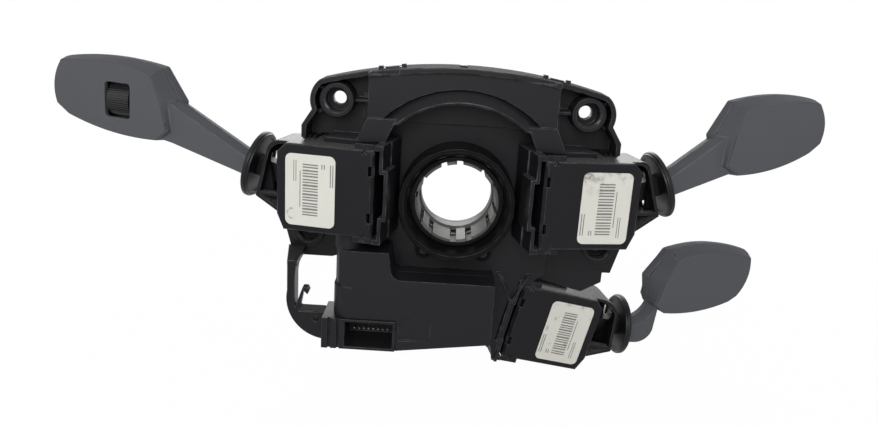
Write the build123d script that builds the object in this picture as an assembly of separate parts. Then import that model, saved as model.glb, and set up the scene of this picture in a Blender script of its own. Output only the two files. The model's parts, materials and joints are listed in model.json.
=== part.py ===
from build123d import *
import os
from dataclasses import dataclass
from math import cos, radians, sin

# Combination stalk switch for a steering column, in millimetres and degrees.
# Origin: middle of the rotor lip on the shaft axis. X to the right and Y away from the
# column-side viewer, towards the steering wheel. Z is up.

# Fits
RUNNING_FIT = 0.05
SLIDE_GAP = 0.25
SEAT_GAP = 0.1
PART_LINE = 0.3
CUT_PAST = 1.0

# Rotor in the shaft bore
BORE_RADIUS = 18.6
LIP_LENGTH = 8.0
FINGER_COUNT = 6
FINGER_TURN = -80.0
FINGER_ARC = 14.0
FINGER_RELIEF = 0.7
PANEL_ARC = 28.0
BAR_GAP_ARC = 1.5
SLEEVE_WALL = 2.3
ROTOR_FRONT = -26.0
PANEL_WALL = 1.5
PANEL_GAP = 1.0
HUB_SETBACK = 1.0
HUB_WALL = 2.0
BAR_DEPTH = 13.0
BAR_WIDTH = 1.5

# Ribbon drum on the driver side
FLOOR_FRONT = -14.0
FLOOR_WALL = 3.0
DRUM_RADIUS = 52.0
DRUM_WALL = 2.0
DRUM_DEPTH = 23.6
HUB_CLEARANCE = 0.6
RIBBON_WIDTH = 17.0
RIBBON_THICKNESS = 0.5
RIBBON_PITCH = 1.6
RIBBON_TURNS = 9
FLANGE_WALL = 2.0
FLANGE_CLEARANCE = 1.0
COVER_WALL = 2.5
SKIRT_DEPTH = 5.0
DRIVE_PIN_RADIUS = 3.0
DRIVE_PIN_LENGTH = 8.0
DRIVE_PIN_PLACE = 38.0
SOCKET_WIDTH = 28.0
SOCKET_HEIGHT = 12.0
SOCKET_DEPTH = 10.0
SOCKET_WALL = 1.6
SOCKET_PLACE = 34.0

# Angle sensor with its funnel collar
COLLAR_RADIUS = 29.0
COLLAR_FRONT = -33.0
COLLAR_WALL = 1.3
FUNNEL_DEPTH = 6.0
CODE_RADIUS = 25.8
CODE_WALL = 1.0
CODE_PLACE = -20.5
CODE_SLOTS = 24
CODE_SLOT_DEPTH = 1.2
CODE_SLOT_WIDTH = 3.0
READER_WIDTH = 5.0
READER_GAP = 1.2
SCREW_SPREAD = 28.0
SCREW_RADIUS = 1.3
SCREW_HEAD_RADIUS = 2.3
SCREW_HEAD = 1.8
SCREW_LENGTH = 4.5
SCREW_SLOT_WIDTH = 0.65
SCREW_SLOT_LENGTH = 3.0
EAR_RADIUS = 4.5
EAR_WALL = 2.4

# Carrier
RIM_TOP = 66.8
RIM_RADIUS = 252.0
RIM_WALL = 2.4
PLATE_FRONT = -36.0
PLATE_WALL = 2.5
SHOULDER_WIDTH = 13.95
SHOULDER_LEAN = 5.0
FLOOR_HALF = 49.0
FLOOR_BOTTOM = -39.5
ARCH_CENTRE = 4.0
ARCH_RADIUS = 46.0
ARCH_WALL = 2.4
ARCH_FRONT = -38.0
ARCH_BAND = 8.0
ARCH_SLOPE = 6.0
ARCH_FOOT = 39.0
RIM_NOTCHES = ((-43.6, -30.6), (26.0, 42.0))
RIM_NOTCH_DEPTH = 7.2
BOSS_RIB_TURNS = (-35.0, 35.0, 90.0)
APRON_REACH = 16.5
APRON_DROP = 6.0
STEP_HEIGHT = 28.0
UPPER_BOSS_X = 61.0
UPPER_BOSS_Z = 47.5
UPPER_BOSS_FRONT = -27.0
LOWER_BOSS_X = 77.5
LOWER_BOSS_Z = -25.5
LOWER_BOSS_FRONT = -7.0
LOWER_BOSS_LENGTH = 13.0
BRACKET_BOTTOM = -40.0
BOSS_RADIUS = 8.6
BOSS_GUARD = 12.5
BOSS_SINK_RADIUS = 6.1
BOSS_FLOOR = 5.0
SCREW_HOLE_RADIUS = 3.3
RIB_WALL = 1.6

# Switch module, in its own frame: x outwards, y towards the driver, z up, origin at the stalk pivot
MODULE_YAW = 10.5
UPPER_PIVOT = (75.0, -24.0, 5.8)
LOWER_PIVOT = (69.0, 9.8, -75.8)
LOWER_ROLL = -12.5
CASE_INNER = -38.3
CASE_OUTER = 9.9
CASE_TOP = 21.7
CASE_BOTTOM = -21.3
CASE_FACE = -15.8
CASE_BACK = 13.6
CASE_WALL = 1.8
TOP_CHAMFER = 4.4
BOTTOM_CHAMFER = 3.4
BOTTOM_CHAMFER_RISE = 7.8
SNOUT_HALF_HEIGHT = 12.2
SNOUT_HALF_DEPTH = 11.5
SNOUT_TO_DISC = 6.5
SNOUT_WALL = 1.6
SNOUT_BOW = 1.5
LABEL_WIDTH = 25.0
LABEL_HEIGHT = 35.3
LABEL_X = -7.2
LABEL_Z = -0.6
LABEL_CORNER = 3.0
LABEL_THICKNESS = 0.15
BOARD_WIDTH = 21.0
BOARD_HEIGHT = 34.0
BOARD_THICKNESS = 1.6
SOCKET_PLATE = 2.4
RAIL_GAP = 2.6
RAIL_WALL = 1.8
RAIL_STEP = 2.4
RAIL_SHELF = 2.0
LOWER_RAIL_PROUD = 2.5
LIP_REACH = 28.7
CLIP_DROP = 10.0
CLIP_NOTCH = 2.7
CLIP_NOTCH_HEIGHT = 5.0
CLIP_EAR = 9.5
CLIP_MARK = 4.6
CLIP_MARK_INSET = 4.8
CLIP_MARK_WIDTH = 0.85
CLIP_MARK_TURN = 30.0
INNER_EDGE_SLOPE = 1.3

# Gimbal and stalk core, in the stalk's frame: the module's frame turned about its y axis
GIMBAL_LENGTH = 8.0
GIMBAL_DEPTH = 16.4
GIMBAL_HEIGHT = 18.0
GIMBAL_WALL = 2.7
TRUNNION_RADIUS = 2.5
PIVOT_RADIUS = 2.0
TRUNNION_BOSS_WALL = 2.1
END_PLAY = 0.4
CORE_PLAY = 0.3
CORE_SWING_ROOM = 0.7
CORE_LENGTH = 10.0
LIFT_ROOM = 5.5
PULL_ROOM = 2.6
SHAFT_DEPTH = 8.0
SHAFT_HEIGHT = 9.0
TONGUE_DEPTH = 5.2
TONGUE_TOP = 1.0
TONGUE_BOTTOM = -4.5
TAIL_RADIUS = 3.6
TAIL_END = -13.0
PLUNGER_RADIUS = 2.0
PLUNGER_TIP = -15.5
PLUNGER_BACK = -8.5
SPRING_SEAT = -3.5
SPRING_WIRE = 0.5
SPRING_TURNS = 5
CAM_GAP = 0.4
CAM_DEPTH = 7.0
CAM_HALF_HEIGHT = 8.0
CAM_NEAR = -4.0
NOTCH_RADIUS = 0.8
NOTCH_STEP = 10.0
DISC_RADIUS = 17.0
DISC_WALL = 2.5
DISC_LIP = 0.8
DISC_LIP_WALL = 1.8

# Stalk shells
REAR_DEPTH = 8.0
FRONT_DEPTH = 11.5
WIDE_DEPTH = 4.0
NECK_DEPTH = 5.0
NECK_FRONT_DEPTH = 6.0
SHELL_WALL = 2.4
FACE_ROUND = 0.8
FRONT_ROUND = 2.0
UPPER_REACH = 27.0
LOWER_REACH = 30.5
UPPER_TONGUE = 20.0
LOWER_TONGUE = 11.0
WIPER_ANGLE = 14.0
WIPER_HEAD_CORNER = (86.9, 30.6)
WIPER_HEAD_LENGTH = 54.2
WIPER_TIP = ((-1.4, -11.2), (-3.3, -35.8), (-10.5, -39.3))
WIPER_TOP_BOW = 2.6
INDICATOR_ANGLE = 18.0
INDICATOR_HEAD_CORNER = (73.2, 30.0)
INDICATOR_HEAD_LENGTH = 43.9
INDICATOR_TIP = ((-0.8, -11.3), (-3.9, -33.6), (-10.0, -36.6))
INDICATOR_TOP_BOW = 2.8
CRUISE_ANGLE = 9.5
CRUISE_HEAD_CORNER = (52.5, 47.0)
CRUISE_HEAD_TURN = 14.0
CRUISE_HEAD_LENGTH = 48.1
CRUISE_TIP = ((0.0, -10.6), (-9.4, -35.0), (-14.3, -37.5))
CRUISE_TOP_BOW = 4.2
REAR_INSETS = (4.2, 6.3, 1.8, 2.0)
WIDE_INSETS = (-0.4, -3.0, -0.6, -0.5)
FRONT_INSETS = (3.6, 4.0, 3.0, 3.0)
HEAD_SHOULDER = (-12.0, -13.4)
HEAD_INNER_FOOT = (-14.5, -29.6)
HEAD_FOOT = (-9.0, -35.8)
HEAD_BOTTOM_BOW = 2.6
HEAD_TIP_BOW = 2.3
NECK_TOP = 3.8
NECK_BOTTOM = -8.2
NECK_OVERLAP = 4.0
NECK_END_TOP = -11.2
NECK_END_BOTTOM = -35.3
NECK_TOP_INSET = 2.4
NECK_BOTTOM_INSET = 1.6
CRANK_BOTTOM = -10.8
CRANK_BEND = 8.5
CRANK_RISE = 0.5
CRANK_WIDTH = 6.0
CRANK_JOIN = -27.0
CRANK_CROOK = 4.5
CRANK_OUTER_BOW = 3.0
CRANK_INNER_BOW = -3.4
BUTTON_Z = -24.5
BUTTON_LENGTH = 9.0
BUTTON_HEIGHT = 12.0
BUTTON_DEPTH = 9.0
BUTTON_TRAVEL = 1.5
WHEEL_RADIUS = 9.0
WHEEL_WIDTH = 11.8
WHEEL_RIBS = 48
WHEEL_RIB_DEPTH = 0.55
WHEEL_RIB_FLANK = 0.3
WHEEL_AXLE_RADIUS = 1.5
WHEEL_GAP = 0.5
WHEEL_LEAN = 11.0
WHEEL_PLACE = (16.1, -21.9)
WINDOW_WIDTH = 13.7
WINDOW_HEIGHT = 17.6
WINDOW_ROUND = 1.8
CHEEK_WALL = 2.2

# Electronics box, connector and cable guide
BOX_FRONT = -36.0
BOX_SPLIT = -22.0
BOX_WALL = 2.0
BOX_LEFT = -60.0
BOX_RIGHT = 22.0
BOX_TOP = -25.5
BOX_STEP = -32.0
BOX_BOTTOM = -72.0
BOX_EDGE_ROUND = 9.0
BOX_STEP_ROUND = 5.0
BOX_PANEL_RIGHT = -9.5
COLUMN_STEP = -45.0
COLUMN_INSET = 1.3
POST_RADIUS = 6.7
POST_TOP = -18.6
MAIN_BOARD_THICKNESS = 1.6
PLUG_LEFT = -65.0
PLUG_RIGHT = -27.0
PLUG_TOP = -61.8
PLUG_BOTTOM = -78.4
PLUG_FRONT = -37.0
PLUG_BACK = -14.0
PLUG_MOUTH_LEFT = -53.0
PLUG_WALL = 1.6
PLUG_MOUTH_DEPTH = 20.0
PLUG_GROOVES = (-61.0, -56.5)
PLUG_GROOVE = 1.2
PIN_SIZE = 0.7
PIN_PITCH = 2.5
PIN_COLUMNS = 8
PIN_ROWS = 2
PIN_ROW_PITCH = 5.0
PIN_LENGTH = 12.0
GUIDE_FRONT = -30.0
GUIDE_BACK = -20.0
GUIDE_LEFT = -84.0
GUIDE_STRIP = 4.0
GUIDE_ARM = 5.0
GUIDE_SWING = 11.0
GUIDE_BOW = 7.0
GUIDE_FLARE = 2.5
GUIDE_HOOK = 13.2
GUIDE_TIP = 2.0
GUIDE_HOLE_RADIUS = 1.5
GUIDE_SPLAY = 4.5


@dataclass(frozen=True)
class Stalk:
    """Sizes of one stalk: where its head starts, how long it is, and the corners of its tip.

    The tip's upper corner, lower corner and heel are given from the head's end.
    """

    name: str
    angle: float
    reach: float
    head_corner: tuple
    head_turn: float
    head_length: float
    tip: tuple
    top_bow: float
    tongue: float
    cranked: bool = False
    thumbwheel: bool = False


@dataclass(frozen=True)
class Inset:
    """How far a head outline is drawn in from the parting line on each side."""

    top: float = 0.0
    neck: float = 0.0
    bottom: float = 0.0
    tip: float = 0.0


PARTING = Inset()
REAR_FACE = Inset(*REAR_INSETS)
WIDEST = Inset(*WIDE_INSETS)
FRONT_FACE = Inset(*FRONT_INSETS)

WIPER = Stalk(
    "wiper", WIPER_ANGLE, UPPER_REACH, WIPER_HEAD_CORNER, 0.0, WIPER_HEAD_LENGTH, WIPER_TIP, WIPER_TOP_BOW,
    UPPER_TONGUE, thumbwheel=True,
)
INDICATOR = Stalk(
    "indicator", INDICATOR_ANGLE, UPPER_REACH, INDICATOR_HEAD_CORNER, 0.0, INDICATOR_HEAD_LENGTH,
    INDICATOR_TIP, INDICATOR_TOP_BOW, UPPER_TONGUE,
)
CRUISE = Stalk(
    "cruise", CRUISE_ANGLE, LOWER_REACH, CRUISE_HEAD_CORNER, CRUISE_HEAD_TURN, CRUISE_HEAD_LENGTH,
    CRUISE_TIP, CRUISE_TOP_BOW, LOWER_TONGUE, cranked=True,
)

# Worked out from the sizes above
SLEEVE_RADIUS = BORE_RADIUS + SLEEVE_WALL
HUB_BORE = SLEEVE_RADIUS + SEAT_GAP
HUB_RADIUS = HUB_BORE + HUB_WALL
PANEL_BORE = HUB_BORE - PANEL_WALL
FLOOR_BACK = FLOOR_FRONT + FLOOR_WALL
HUB_HOLE = HUB_RADIUS + HUB_CLEARANCE
DRUM_END = FLOOR_BACK + DRUM_DEPTH
COVER_FRONT = DRUM_END + PART_LINE
COVER_BACK = COVER_FRONT + COVER_WALL
FLANGE_FRONT = COVER_FRONT - FLANGE_WALL
COVER_RADIUS = DRUM_RADIUS + FLANGE_CLEARANCE + DRUM_WALL
CAVITY_RADIUS = COLLAR_RADIUS - COLLAR_WALL
ARCH_SIDE = (ARCH_RADIUS**2 - (ARCH_FOOT - ARCH_CENTRE) ** 2) ** 0.5 + ARCH_WALL / 2
PLATE_HALF = ARCH_SIDE + SHOULDER_WIDTH
APRON_FOOT = UPPER_BOSS_Z - BOSS_GUARD - APRON_DROP
GUIDE_TOP = LOWER_BOSS_Z - BOSS_RADIUS - PART_LINE
SCREW_PLACE = COLLAR_RADIUS + EAR_RADIUS - COLLAR_WALL / 2
COVER_INSIDE = CASE_FACE + CASE_WALL
BACK_INSIDE = CASE_BACK - CASE_WALL
CORE_DEPTH = GIMBAL_DEPTH - 2 * GIMBAL_WALL - 2 * CORE_SWING_ROOM
CORE_HEIGHT = GIMBAL_HEIGHT - 2 * GIMBAL_WALL - 2 * CORE_PLAY


def slab(outline, near, far):
    """Solid with an X-Z outline, from depth near to depth far along Y."""
    return extrude(Pos(0, near, 0) * (Plane.XZ * outline), amount=far - near, dir=(0, 1, 0))


def section(outline, depth):
    """An X-Z outline set at a depth along Y, for a loft."""
    return Pos(0, depth, 0) * (Plane.XZ * outline)


def block(low, high):
    """Box between two opposite corners."""
    size = [b - a for a, b in zip(low, high)]
    middle = [(a + b) / 2 for a, b in zip(low, high)]
    return Pos(*middle) * Box(*size)


def disc(radius, near, far, x=0.0, z=0.0):
    """Round solid along Y."""
    return slab(Pos(x, z) * Circle(radius), near, far)


def ring(outer, inner, near, far):
    """Round tube about the shaft axis."""
    return disc(outer, near, far) - disc(inner, near - CUT_PAST, far + CUT_PAST)


def rod(radius, start, end):
    """Round solid along X."""
    return Pos((start + end) / 2, 0, 0) * Rot(0, 90, 0) * Cylinder(radius, end - start)


def polygon(points):
    """Face with straight edges through the points."""
    return make_face(Polyline(*points, close=True))


def sector(outer, inner, middle, arc):
    """Part of a ring, arc degrees wide, about the direction middle."""
    half = arc / 2
    low, high = radians(middle - half), radians(middle + half)
    mid = radians(middle)
    outer_arc = ThreePointArc(
        (outer * cos(low), outer * sin(low)),
        (outer * cos(mid), outer * sin(mid)),
        (outer * cos(high), outer * sin(high)),
    )
    inner_arc = ThreePointArc(
        (inner * cos(high), inner * sin(high)),
        (inner * cos(mid), inner * sin(mid)),
        (inner * cos(low), inner * sin(low)),
    )
    sides = [Line(outer_arc @ 1, inner_arc @ 0), Line(inner_arc @ 1, outer_arc @ 0)]
    return make_face([outer_arc, inner_arc] + sides)


def bowed(start, end, bow):
    """Arc from start to end that stands bow to the right of the chord."""
    dx, dz = end[0] - start[0], end[1] - start[1]
    length = (dx * dx + dz * dz) ** 0.5
    middle = ((start[0] + end[0]) / 2 + dz / length * bow, (start[1] + end[1]) / 2 - dx / length * bow)
    return ThreePointArc(start, middle, end)


def both_sides(solid):
    """The solid and its mirror image on the other side of the shaft."""
    return solid + mirror(solid, about=Plane.YZ)


# Rotor and ribbon drum


def finger_directions():
    """Direction of each narrow finger around the bore."""
    return [FINGER_TURN + k * 360 / FINGER_COUNT for k in range(FINGER_COUNT)]


def rotor_sleeve():
    """Lip in the bore with narrow fingers that reach towards the column."""
    half = LIP_LENGTH / 2
    sleeve = ring(SLEEVE_RADIUS, BORE_RADIUS, -half, half)
    for turn in finger_directions():
        finger = sector(SLEEVE_RADIUS, BORE_RADIUS + FINGER_RELIEF, turn, FINGER_ARC)
        sleeve += slab(finger, ROTOR_FRONT, -half)
    return sleeve


def rotor_hub():
    """Tube with wide panels between the fingers, and the flange that turns over the ribbon."""
    hub = ring(HUB_RADIUS, HUB_BORE, ROTOR_FRONT + HUB_SETBACK, COVER_FRONT)
    step = 360 / FINGER_COUNT
    bar_arc = step - FINGER_ARC - 2 * BAR_GAP_ARC
    for turn in finger_directions():
        panel = sector(HUB_BORE + HUB_WALL / 2, PANEL_BORE, turn + step / 2, PANEL_ARC)
        hub += slab(panel, ROTOR_FRONT, -LIP_LENGTH / 2 - PANEL_GAP)
        bar = sector(HUB_BORE + HUB_WALL / 2, HUB_BORE - PANEL_WALL / 2, turn + step / 2, bar_arc)
        hub += slab(bar, ROTOR_FRONT + BAR_DEPTH, ROTOR_FRONT + BAR_DEPTH + BAR_WIDTH)
    flange_radius = DRUM_RADIUS - DRUM_WALL - FLANGE_CLEARANCE
    return hub + ring(flange_radius, HUB_BORE + HUB_WALL / 2, FLANGE_FRONT, COVER_FRONT)


def rotor_cover():
    """Driver-side face of the rotor, with a skirt over the drum and two drive pins."""
    cover = ring(COVER_RADIUS, HUB_BORE, COVER_FRONT, COVER_BACK)
    cover += ring(COVER_RADIUS, COVER_RADIUS - DRUM_WALL, COVER_FRONT - SKIRT_DEPTH, COVER_FRONT)
    pin = disc(DRIVE_PIN_RADIUS, COVER_BACK, COVER_BACK + DRIVE_PIN_LENGTH, DRIVE_PIN_PLACE)
    pin = chamfer(pin.faces().sort_by(Axis.Y)[-1].edges(), DRIVE_PIN_RADIUS / 4)
    return cover + both_sides(pin)


def wheel_socket():
    """Socket on the rotor for the steering wheel's plug."""
    outer = Pos(0, SOCKET_PLACE) * RectangleRounded(SOCKET_WIDTH, SOCKET_HEIGHT, SOCKET_WALL)
    inner = Pos(0, SOCKET_PLACE) * Rectangle(SOCKET_WIDTH - 2 * SOCKET_WALL, SOCKET_HEIGHT - 2 * SOCKET_WALL)
    shell = slab(outer, COVER_BACK, COVER_BACK + SOCKET_DEPTH)
    return shell - slab(inner, COVER_BACK + SOCKET_WALL, COVER_BACK + SOCKET_DEPTH + CUT_PAST)


def code_disc():
    """Slotted disc on the hub, read by the angle sensor."""
    face = Circle(CODE_RADIUS) - Circle(HUB_RADIUS + SEAT_GAP)
    slot = Pos(CODE_RADIUS, 0) * Rectangle(2 * CODE_SLOT_DEPTH, CODE_SLOT_WIDTH)
    face -= [Rot(0, 0, k * 360 / CODE_SLOTS) * slot for k in range(CODE_SLOTS)]
    return slab(face, CODE_PLACE, CODE_PLACE + CODE_WALL)


def coil_case():
    """Drum for the flat cable, open towards the driver."""
    drum = disc(DRUM_RADIUS, FLOOR_BACK, DRUM_END)
    drum -= disc(DRUM_RADIUS - DRUM_WALL, FLOOR_BACK + DRUM_WALL, DRUM_END + CUT_PAST)
    return drum - disc(HUB_HOLE, FLOOR_BACK - CUT_PAST, DRUM_END)


def ribbon_coil():
    """Flat cable wound in the drum, as half turns that grow by half a pitch."""
    start = HUB_HOLE + RIBBON_PITCH
    half_step = RIBBON_PITCH / 2
    outside, inside = [], []
    for k in range(2 * RIBBON_TURNS):
        radius = start + k * half_step
        centre = half_step / 2 if k % 2 else -half_step / 2
        side = -1 if k % 2 else 1
        for edges, shift in ((outside, RIBBON_THICKNESS / 2), (inside, -RIBBON_THICKNESS / 2)):
            reach = side * (radius + shift)
            edges.append(ThreePointArc((centre + reach, 0), (centre, reach), (centre - reach, 0)))
    closing = [Line(outside[0] @ 0, inside[0] @ 0), Line(outside[-1] @ 1, inside[-1] @ 1)]
    front = FLOOR_BACK + DRUM_WALL
    return slab(make_face(outside + inside + closing), front, front + RIBBON_WIDTH)


# Angle sensor


def screw_spots():
    """Places of the sensor's two screws, below the collar."""
    turns = [radians(-90 + side * SCREW_SPREAD) for side in (-1, 1)]
    return [(SCREW_PLACE * cos(turn), SCREW_PLACE * sin(turn)) for turn in turns]


def angle_sensor_case():
    """Collar with a funnel mouth around the rotor and two screw ears."""
    rim = COLLAR_WALL
    profile = polygon(
        [
            (COLLAR_RADIUS, FLOOR_FRONT),
            (COLLAR_RADIUS, COLLAR_FRONT + rim),
            (COLLAR_RADIUS - rim / 2, COLLAR_FRONT),
            (COLLAR_RADIUS - 2 * rim, COLLAR_FRONT),
            (COLLAR_RADIUS - 3 * rim, COLLAR_FRONT + rim),
            (HUB_HOLE, COLLAR_FRONT + FUNNEL_DEPTH),
            (HUB_HOLE, COLLAR_FRONT + FUNNEL_DEPTH + 2 * rim),
            (CAVITY_RADIUS, COLLAR_FRONT + FUNNEL_DEPTH + 2 * rim),
            (CAVITY_RADIUS, FLOOR_FRONT),
        ]
    )
    case = revolve(profile, Axis.Y)
    for x, z in screw_spots():
        ear = disc(EAR_RADIUS, FLOOR_FRONT - EAR_WALL, FLOOR_FRONT, x, z)
        ear -= disc(CAVITY_RADIUS, FLOOR_FRONT - EAR_WALL - CUT_PAST, FLOOR_FRONT + CUT_PAST)
        ear -= disc(SCREW_RADIUS + SEAT_GAP, FLOOR_FRONT - EAR_WALL - CUT_PAST, FLOOR_FRONT + CUT_PAST, x, z)
        case += ear
    return case


def sensor_screws():
    """Screws of the sensor case, with a cross recess."""
    screws = []
    seat = FLOOR_FRONT - EAR_WALL
    for x, z in screw_spots():
        screw = disc(SCREW_HEAD_RADIUS, seat - SCREW_HEAD, seat, x, z)
        screw = fillet(screw.faces().sort_by(Axis.Y)[0].edges(), SCREW_HEAD / 3)
        slot = Pos(x, seat - SCREW_HEAD, z)
        screw -= slot * Box(SCREW_SLOT_LENGTH, SCREW_HEAD, SCREW_SLOT_WIDTH)
        screw -= slot * Box(SCREW_SLOT_WIDTH, SCREW_HEAD, SCREW_SLOT_LENGTH)
        screws.append(screw + disc(SCREW_RADIUS, seat, seat + SCREW_LENGTH, x, z))
    return Compound(screws)


def sensor_reader():
    """Fork on the floor that reaches around the code disc's edge."""
    inside = HUB_RADIUS + READER_GAP
    top = CAVITY_RADIUS - SLIDE_GAP - READER_WIDTH**2 / (8 * CAVITY_RADIUS)
    near = COLLAR_FRONT + FUNNEL_DEPTH + 2 * COLLAR_WALL + READER_GAP
    fork = block((-READER_WIDTH / 2, near, inside), (READER_WIDTH / 2, FLOOR_FRONT, top))
    gap = block(
        (-READER_WIDTH, CODE_PLACE - READER_GAP, 0),
        (READER_WIDTH, CODE_PLACE + CODE_WALL + READER_GAP, CODE_RADIUS + SLIDE_GAP),
    )
    return fork - gap


# Carrier


def module_place(pivot, roll):
    """Place of a switch module on the right-hand side."""
    yaw, lean = radians(MODULE_YAW), radians(roll)
    along = (cos(yaw) * cos(lean), sin(yaw), cos(yaw) * sin(lean))
    upwards = (-sin(lean), 0, cos(lean))
    return Plane(origin=pivot, x_dir=along, z_dir=upwards).location


UPPER_PLACE = module_place(UPPER_PIVOT, 0.0)
LOWER_PLACE = module_place(LOWER_PIVOT, LOWER_ROLL)


def rim_face():
    """Outline of the carrier's upper half, with round corners about the upper bosses."""
    top_circle = Pos(0, RIM_TOP - RIM_RADIUS) * Circle(RIM_RADIUS)
    wide = Pos(0, RIM_TOP / 2 + ARCH_FOOT / 2) * Rectangle(2 * UPPER_BOSS_X, RIM_TOP - ARCH_FOOT + BOSS_GUARD)
    corner = Pos(UPPER_BOSS_X, UPPER_BOSS_Z) * Circle(BOSS_GUARD)
    apron = polygon(
        [
            (UPPER_BOSS_X - BOSS_GUARD, APRON_FOOT),
            (UPPER_BOSS_X - BOSS_GUARD, UPPER_BOSS_Z),
            (UPPER_BOSS_X + BOSS_RADIUS, UPPER_BOSS_Z),
            (UPPER_BOSS_X + APRON_REACH, APRON_FOOT + APRON_DROP),
            (UPPER_BOSS_X + APRON_REACH, APRON_FOOT),
        ]
    )
    side = corner + apron
    return (wide + side + mirror(side, about=Plane.YZ)) & top_circle


def carrier_floor():
    """Back wall of the carrier with holes for the hub and the sensor's screws."""
    middle = Pos(0, (FLOOR_BOTTOM + ARCH_FOOT) / 2) * Rectangle(2 * FLOOR_HALF, ARCH_FOOT - FLOOR_BOTTOM)
    floor = slab(rim_face() + middle, FLOOR_FRONT, FLOOR_BACK)
    floor -= disc(HUB_HOLE, FLOOR_FRONT - CUT_PAST, FLOOR_BACK + CUT_PAST)
    for x, z in screw_spots():
        floor -= disc(SCREW_RADIUS + SEAT_GAP, FLOOR_FRONT - CUT_PAST, FLOOR_BACK + CUT_PAST, x, z)
    step_front = FLOOR_FRONT - FLOOR_WALL
    step = polygon(
        [
            (-FLOOR_HALF, STEP_HEIGHT + COLLAR_RADIUS / 3),
            (FLOOR_HALF, STEP_HEIGHT + COLLAR_RADIUS / 3),
            (FLOOR_HALF, ARCH_CENTRE + ARCH_RADIUS),
            (-FLOOR_HALF, ARCH_CENTRE + ARCH_RADIUS),
        ]
    )
    return floor + slab(step, step_front, FLOOR_FRONT)


def carrier_rim():
    """Wall along the top, deeper in the middle, with two clip notches and an open foot over each module."""
    face = rim_face()
    wall = face - offset(face, -RIM_WALL)
    wall -= Pos(0, APRON_FOOT) * Rectangle(2 * (UPPER_BOSS_X + APRON_REACH - RIM_WALL), 2 * RIM_WALL)
    keep = Pos(0, RIM_TOP) * Rectangle(4 * UPPER_BOSS_X, 2 * (RIM_TOP - ARCH_FOOT))
    outside = Pos(2 * UPPER_BOSS_X, RIM_TOP) * Rectangle(2 * UPPER_BOSS_X, 2 * (RIM_TOP - APRON_FOOT))
    keep += outside + mirror(outside, about=Plane.YZ)
    rim = slab(wall & keep, UPPER_BOSS_FRONT - RIM_WALL, FLOOR_FRONT)
    centre = Pos(0, RIM_TOP) * Rectangle(2 * PLATE_HALF, 2 * (RIM_TOP - ARCH_FOOT))
    rim += slab(wall & centre, PLATE_FRONT - RIM_WALL, FLOOR_FRONT)
    for left, right in RIM_NOTCHES:
        rim -= block(
            (left, PLATE_FRONT - 2 * RIM_WALL, RIM_TOP - 2 * RIM_WALL),
            (right, PLATE_FRONT - RIM_WALL + RIM_NOTCH_DEPTH, RIM_TOP + RIM_WALL),
        )
    return rim


def carrier_plate():
    """Front plate above the arch, with its two side walls."""
    frame = Pos(0, RIM_TOP) * Rectangle(2 * PLATE_HALF, 2 * (RIM_TOP - ARCH_FOOT))
    hole = Pos(0, ARCH_CENTRE) * Circle(ARCH_RADIUS + ARCH_BAND - ARCH_WALL / 2)
    plate = slab((rim_face() & frame) - hole, PLATE_FRONT, PLATE_FRONT + PLATE_WALL)
    side_top = RIM_TOP - PLATE_HALF**2 / (2 * RIM_RADIUS) - RIM_WALL / 2
    side = block((PLATE_HALF - PLATE_WALL, PLATE_FRONT, ARCH_FOOT), (PLATE_HALF, FLOOR_FRONT, side_top))
    return plate + both_sides(side)


def carrier_arch():
    """Hood around the top of the bore: an inner wall with a sloping band outwards."""
    inner, outer = ARCH_RADIUS, ARCH_RADIUS + ARCH_BAND
    profile = polygon(
        [
            (inner, FLOOR_FRONT),
            (inner, ARCH_FRONT),
            (inner + ARCH_WALL / 2, ARCH_FRONT - ARCH_WALL / 4),
            (outer, ARCH_FRONT + ARCH_SLOPE),
            (outer, ARCH_FRONT + ARCH_SLOPE + ARCH_WALL),
            (inner + ARCH_WALL, ARCH_FRONT + ARCH_WALL),
            (inner + ARCH_WALL, FLOOR_FRONT),
        ]
    )
    hood = Pos(0, 0, ARCH_CENTRE) * revolve(profile, Axis.Y)
    reach = 2 * ARCH_RADIUS
    return hood & block((-reach, 2 * ARCH_FRONT, ARCH_FOOT), (reach, FLOOR_FRONT, RIM_TOP))


def carrier_shoulder():
    """Hollow leaning block on the right beside the arch, above the module's socket."""
    low = UPPER_PIVOT[2] + CASE_TOP + RAIL_GAP
    top = ARCH_FOOT + PLATE_WALL
    left, right = ARCH_SIDE + SHOULDER_LEAN, PLATE_HALF + SHOULDER_LEAN
    outline = polygon([(left, low), (right, low), (PLATE_HALF, top), (ARCH_SIDE, top)])
    hollow = polygon(
        [
            (left + PLATE_WALL, low - CUT_PAST),
            (right - PLATE_WALL, low - CUT_PAST),
            (PLATE_HALF - PLATE_WALL, ARCH_FOOT),
            (ARCH_SIDE + PLATE_WALL, ARCH_FOOT),
        ]
    )
    shell = slab(outline, ARCH_FRONT, FLOOR_FRONT)
    return shell - slab(hollow, ARCH_FRONT + PLATE_WALL, FLOOR_FRONT - PLATE_WALL)


def screw_boss(x, z, front, back):
    """Solid post for one column screw, not yet bored."""
    post = disc(BOSS_RADIUS, front, back, x, z)
    return fillet(post.faces().sort_by(Axis.Y)[0].edges(), FACE_ROUND)


def boss_bore(x, z, front, back):
    """What a column screw takes out of its boss: the sunk head and the hole."""
    sink = disc(BOSS_SINK_RADIUS, front - CUT_PAST, back - BOSS_FLOOR, x, z)
    return sink + disc(SCREW_HOLE_RADIUS, front - CUT_PAST, back + CUT_PAST, x, z)


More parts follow.
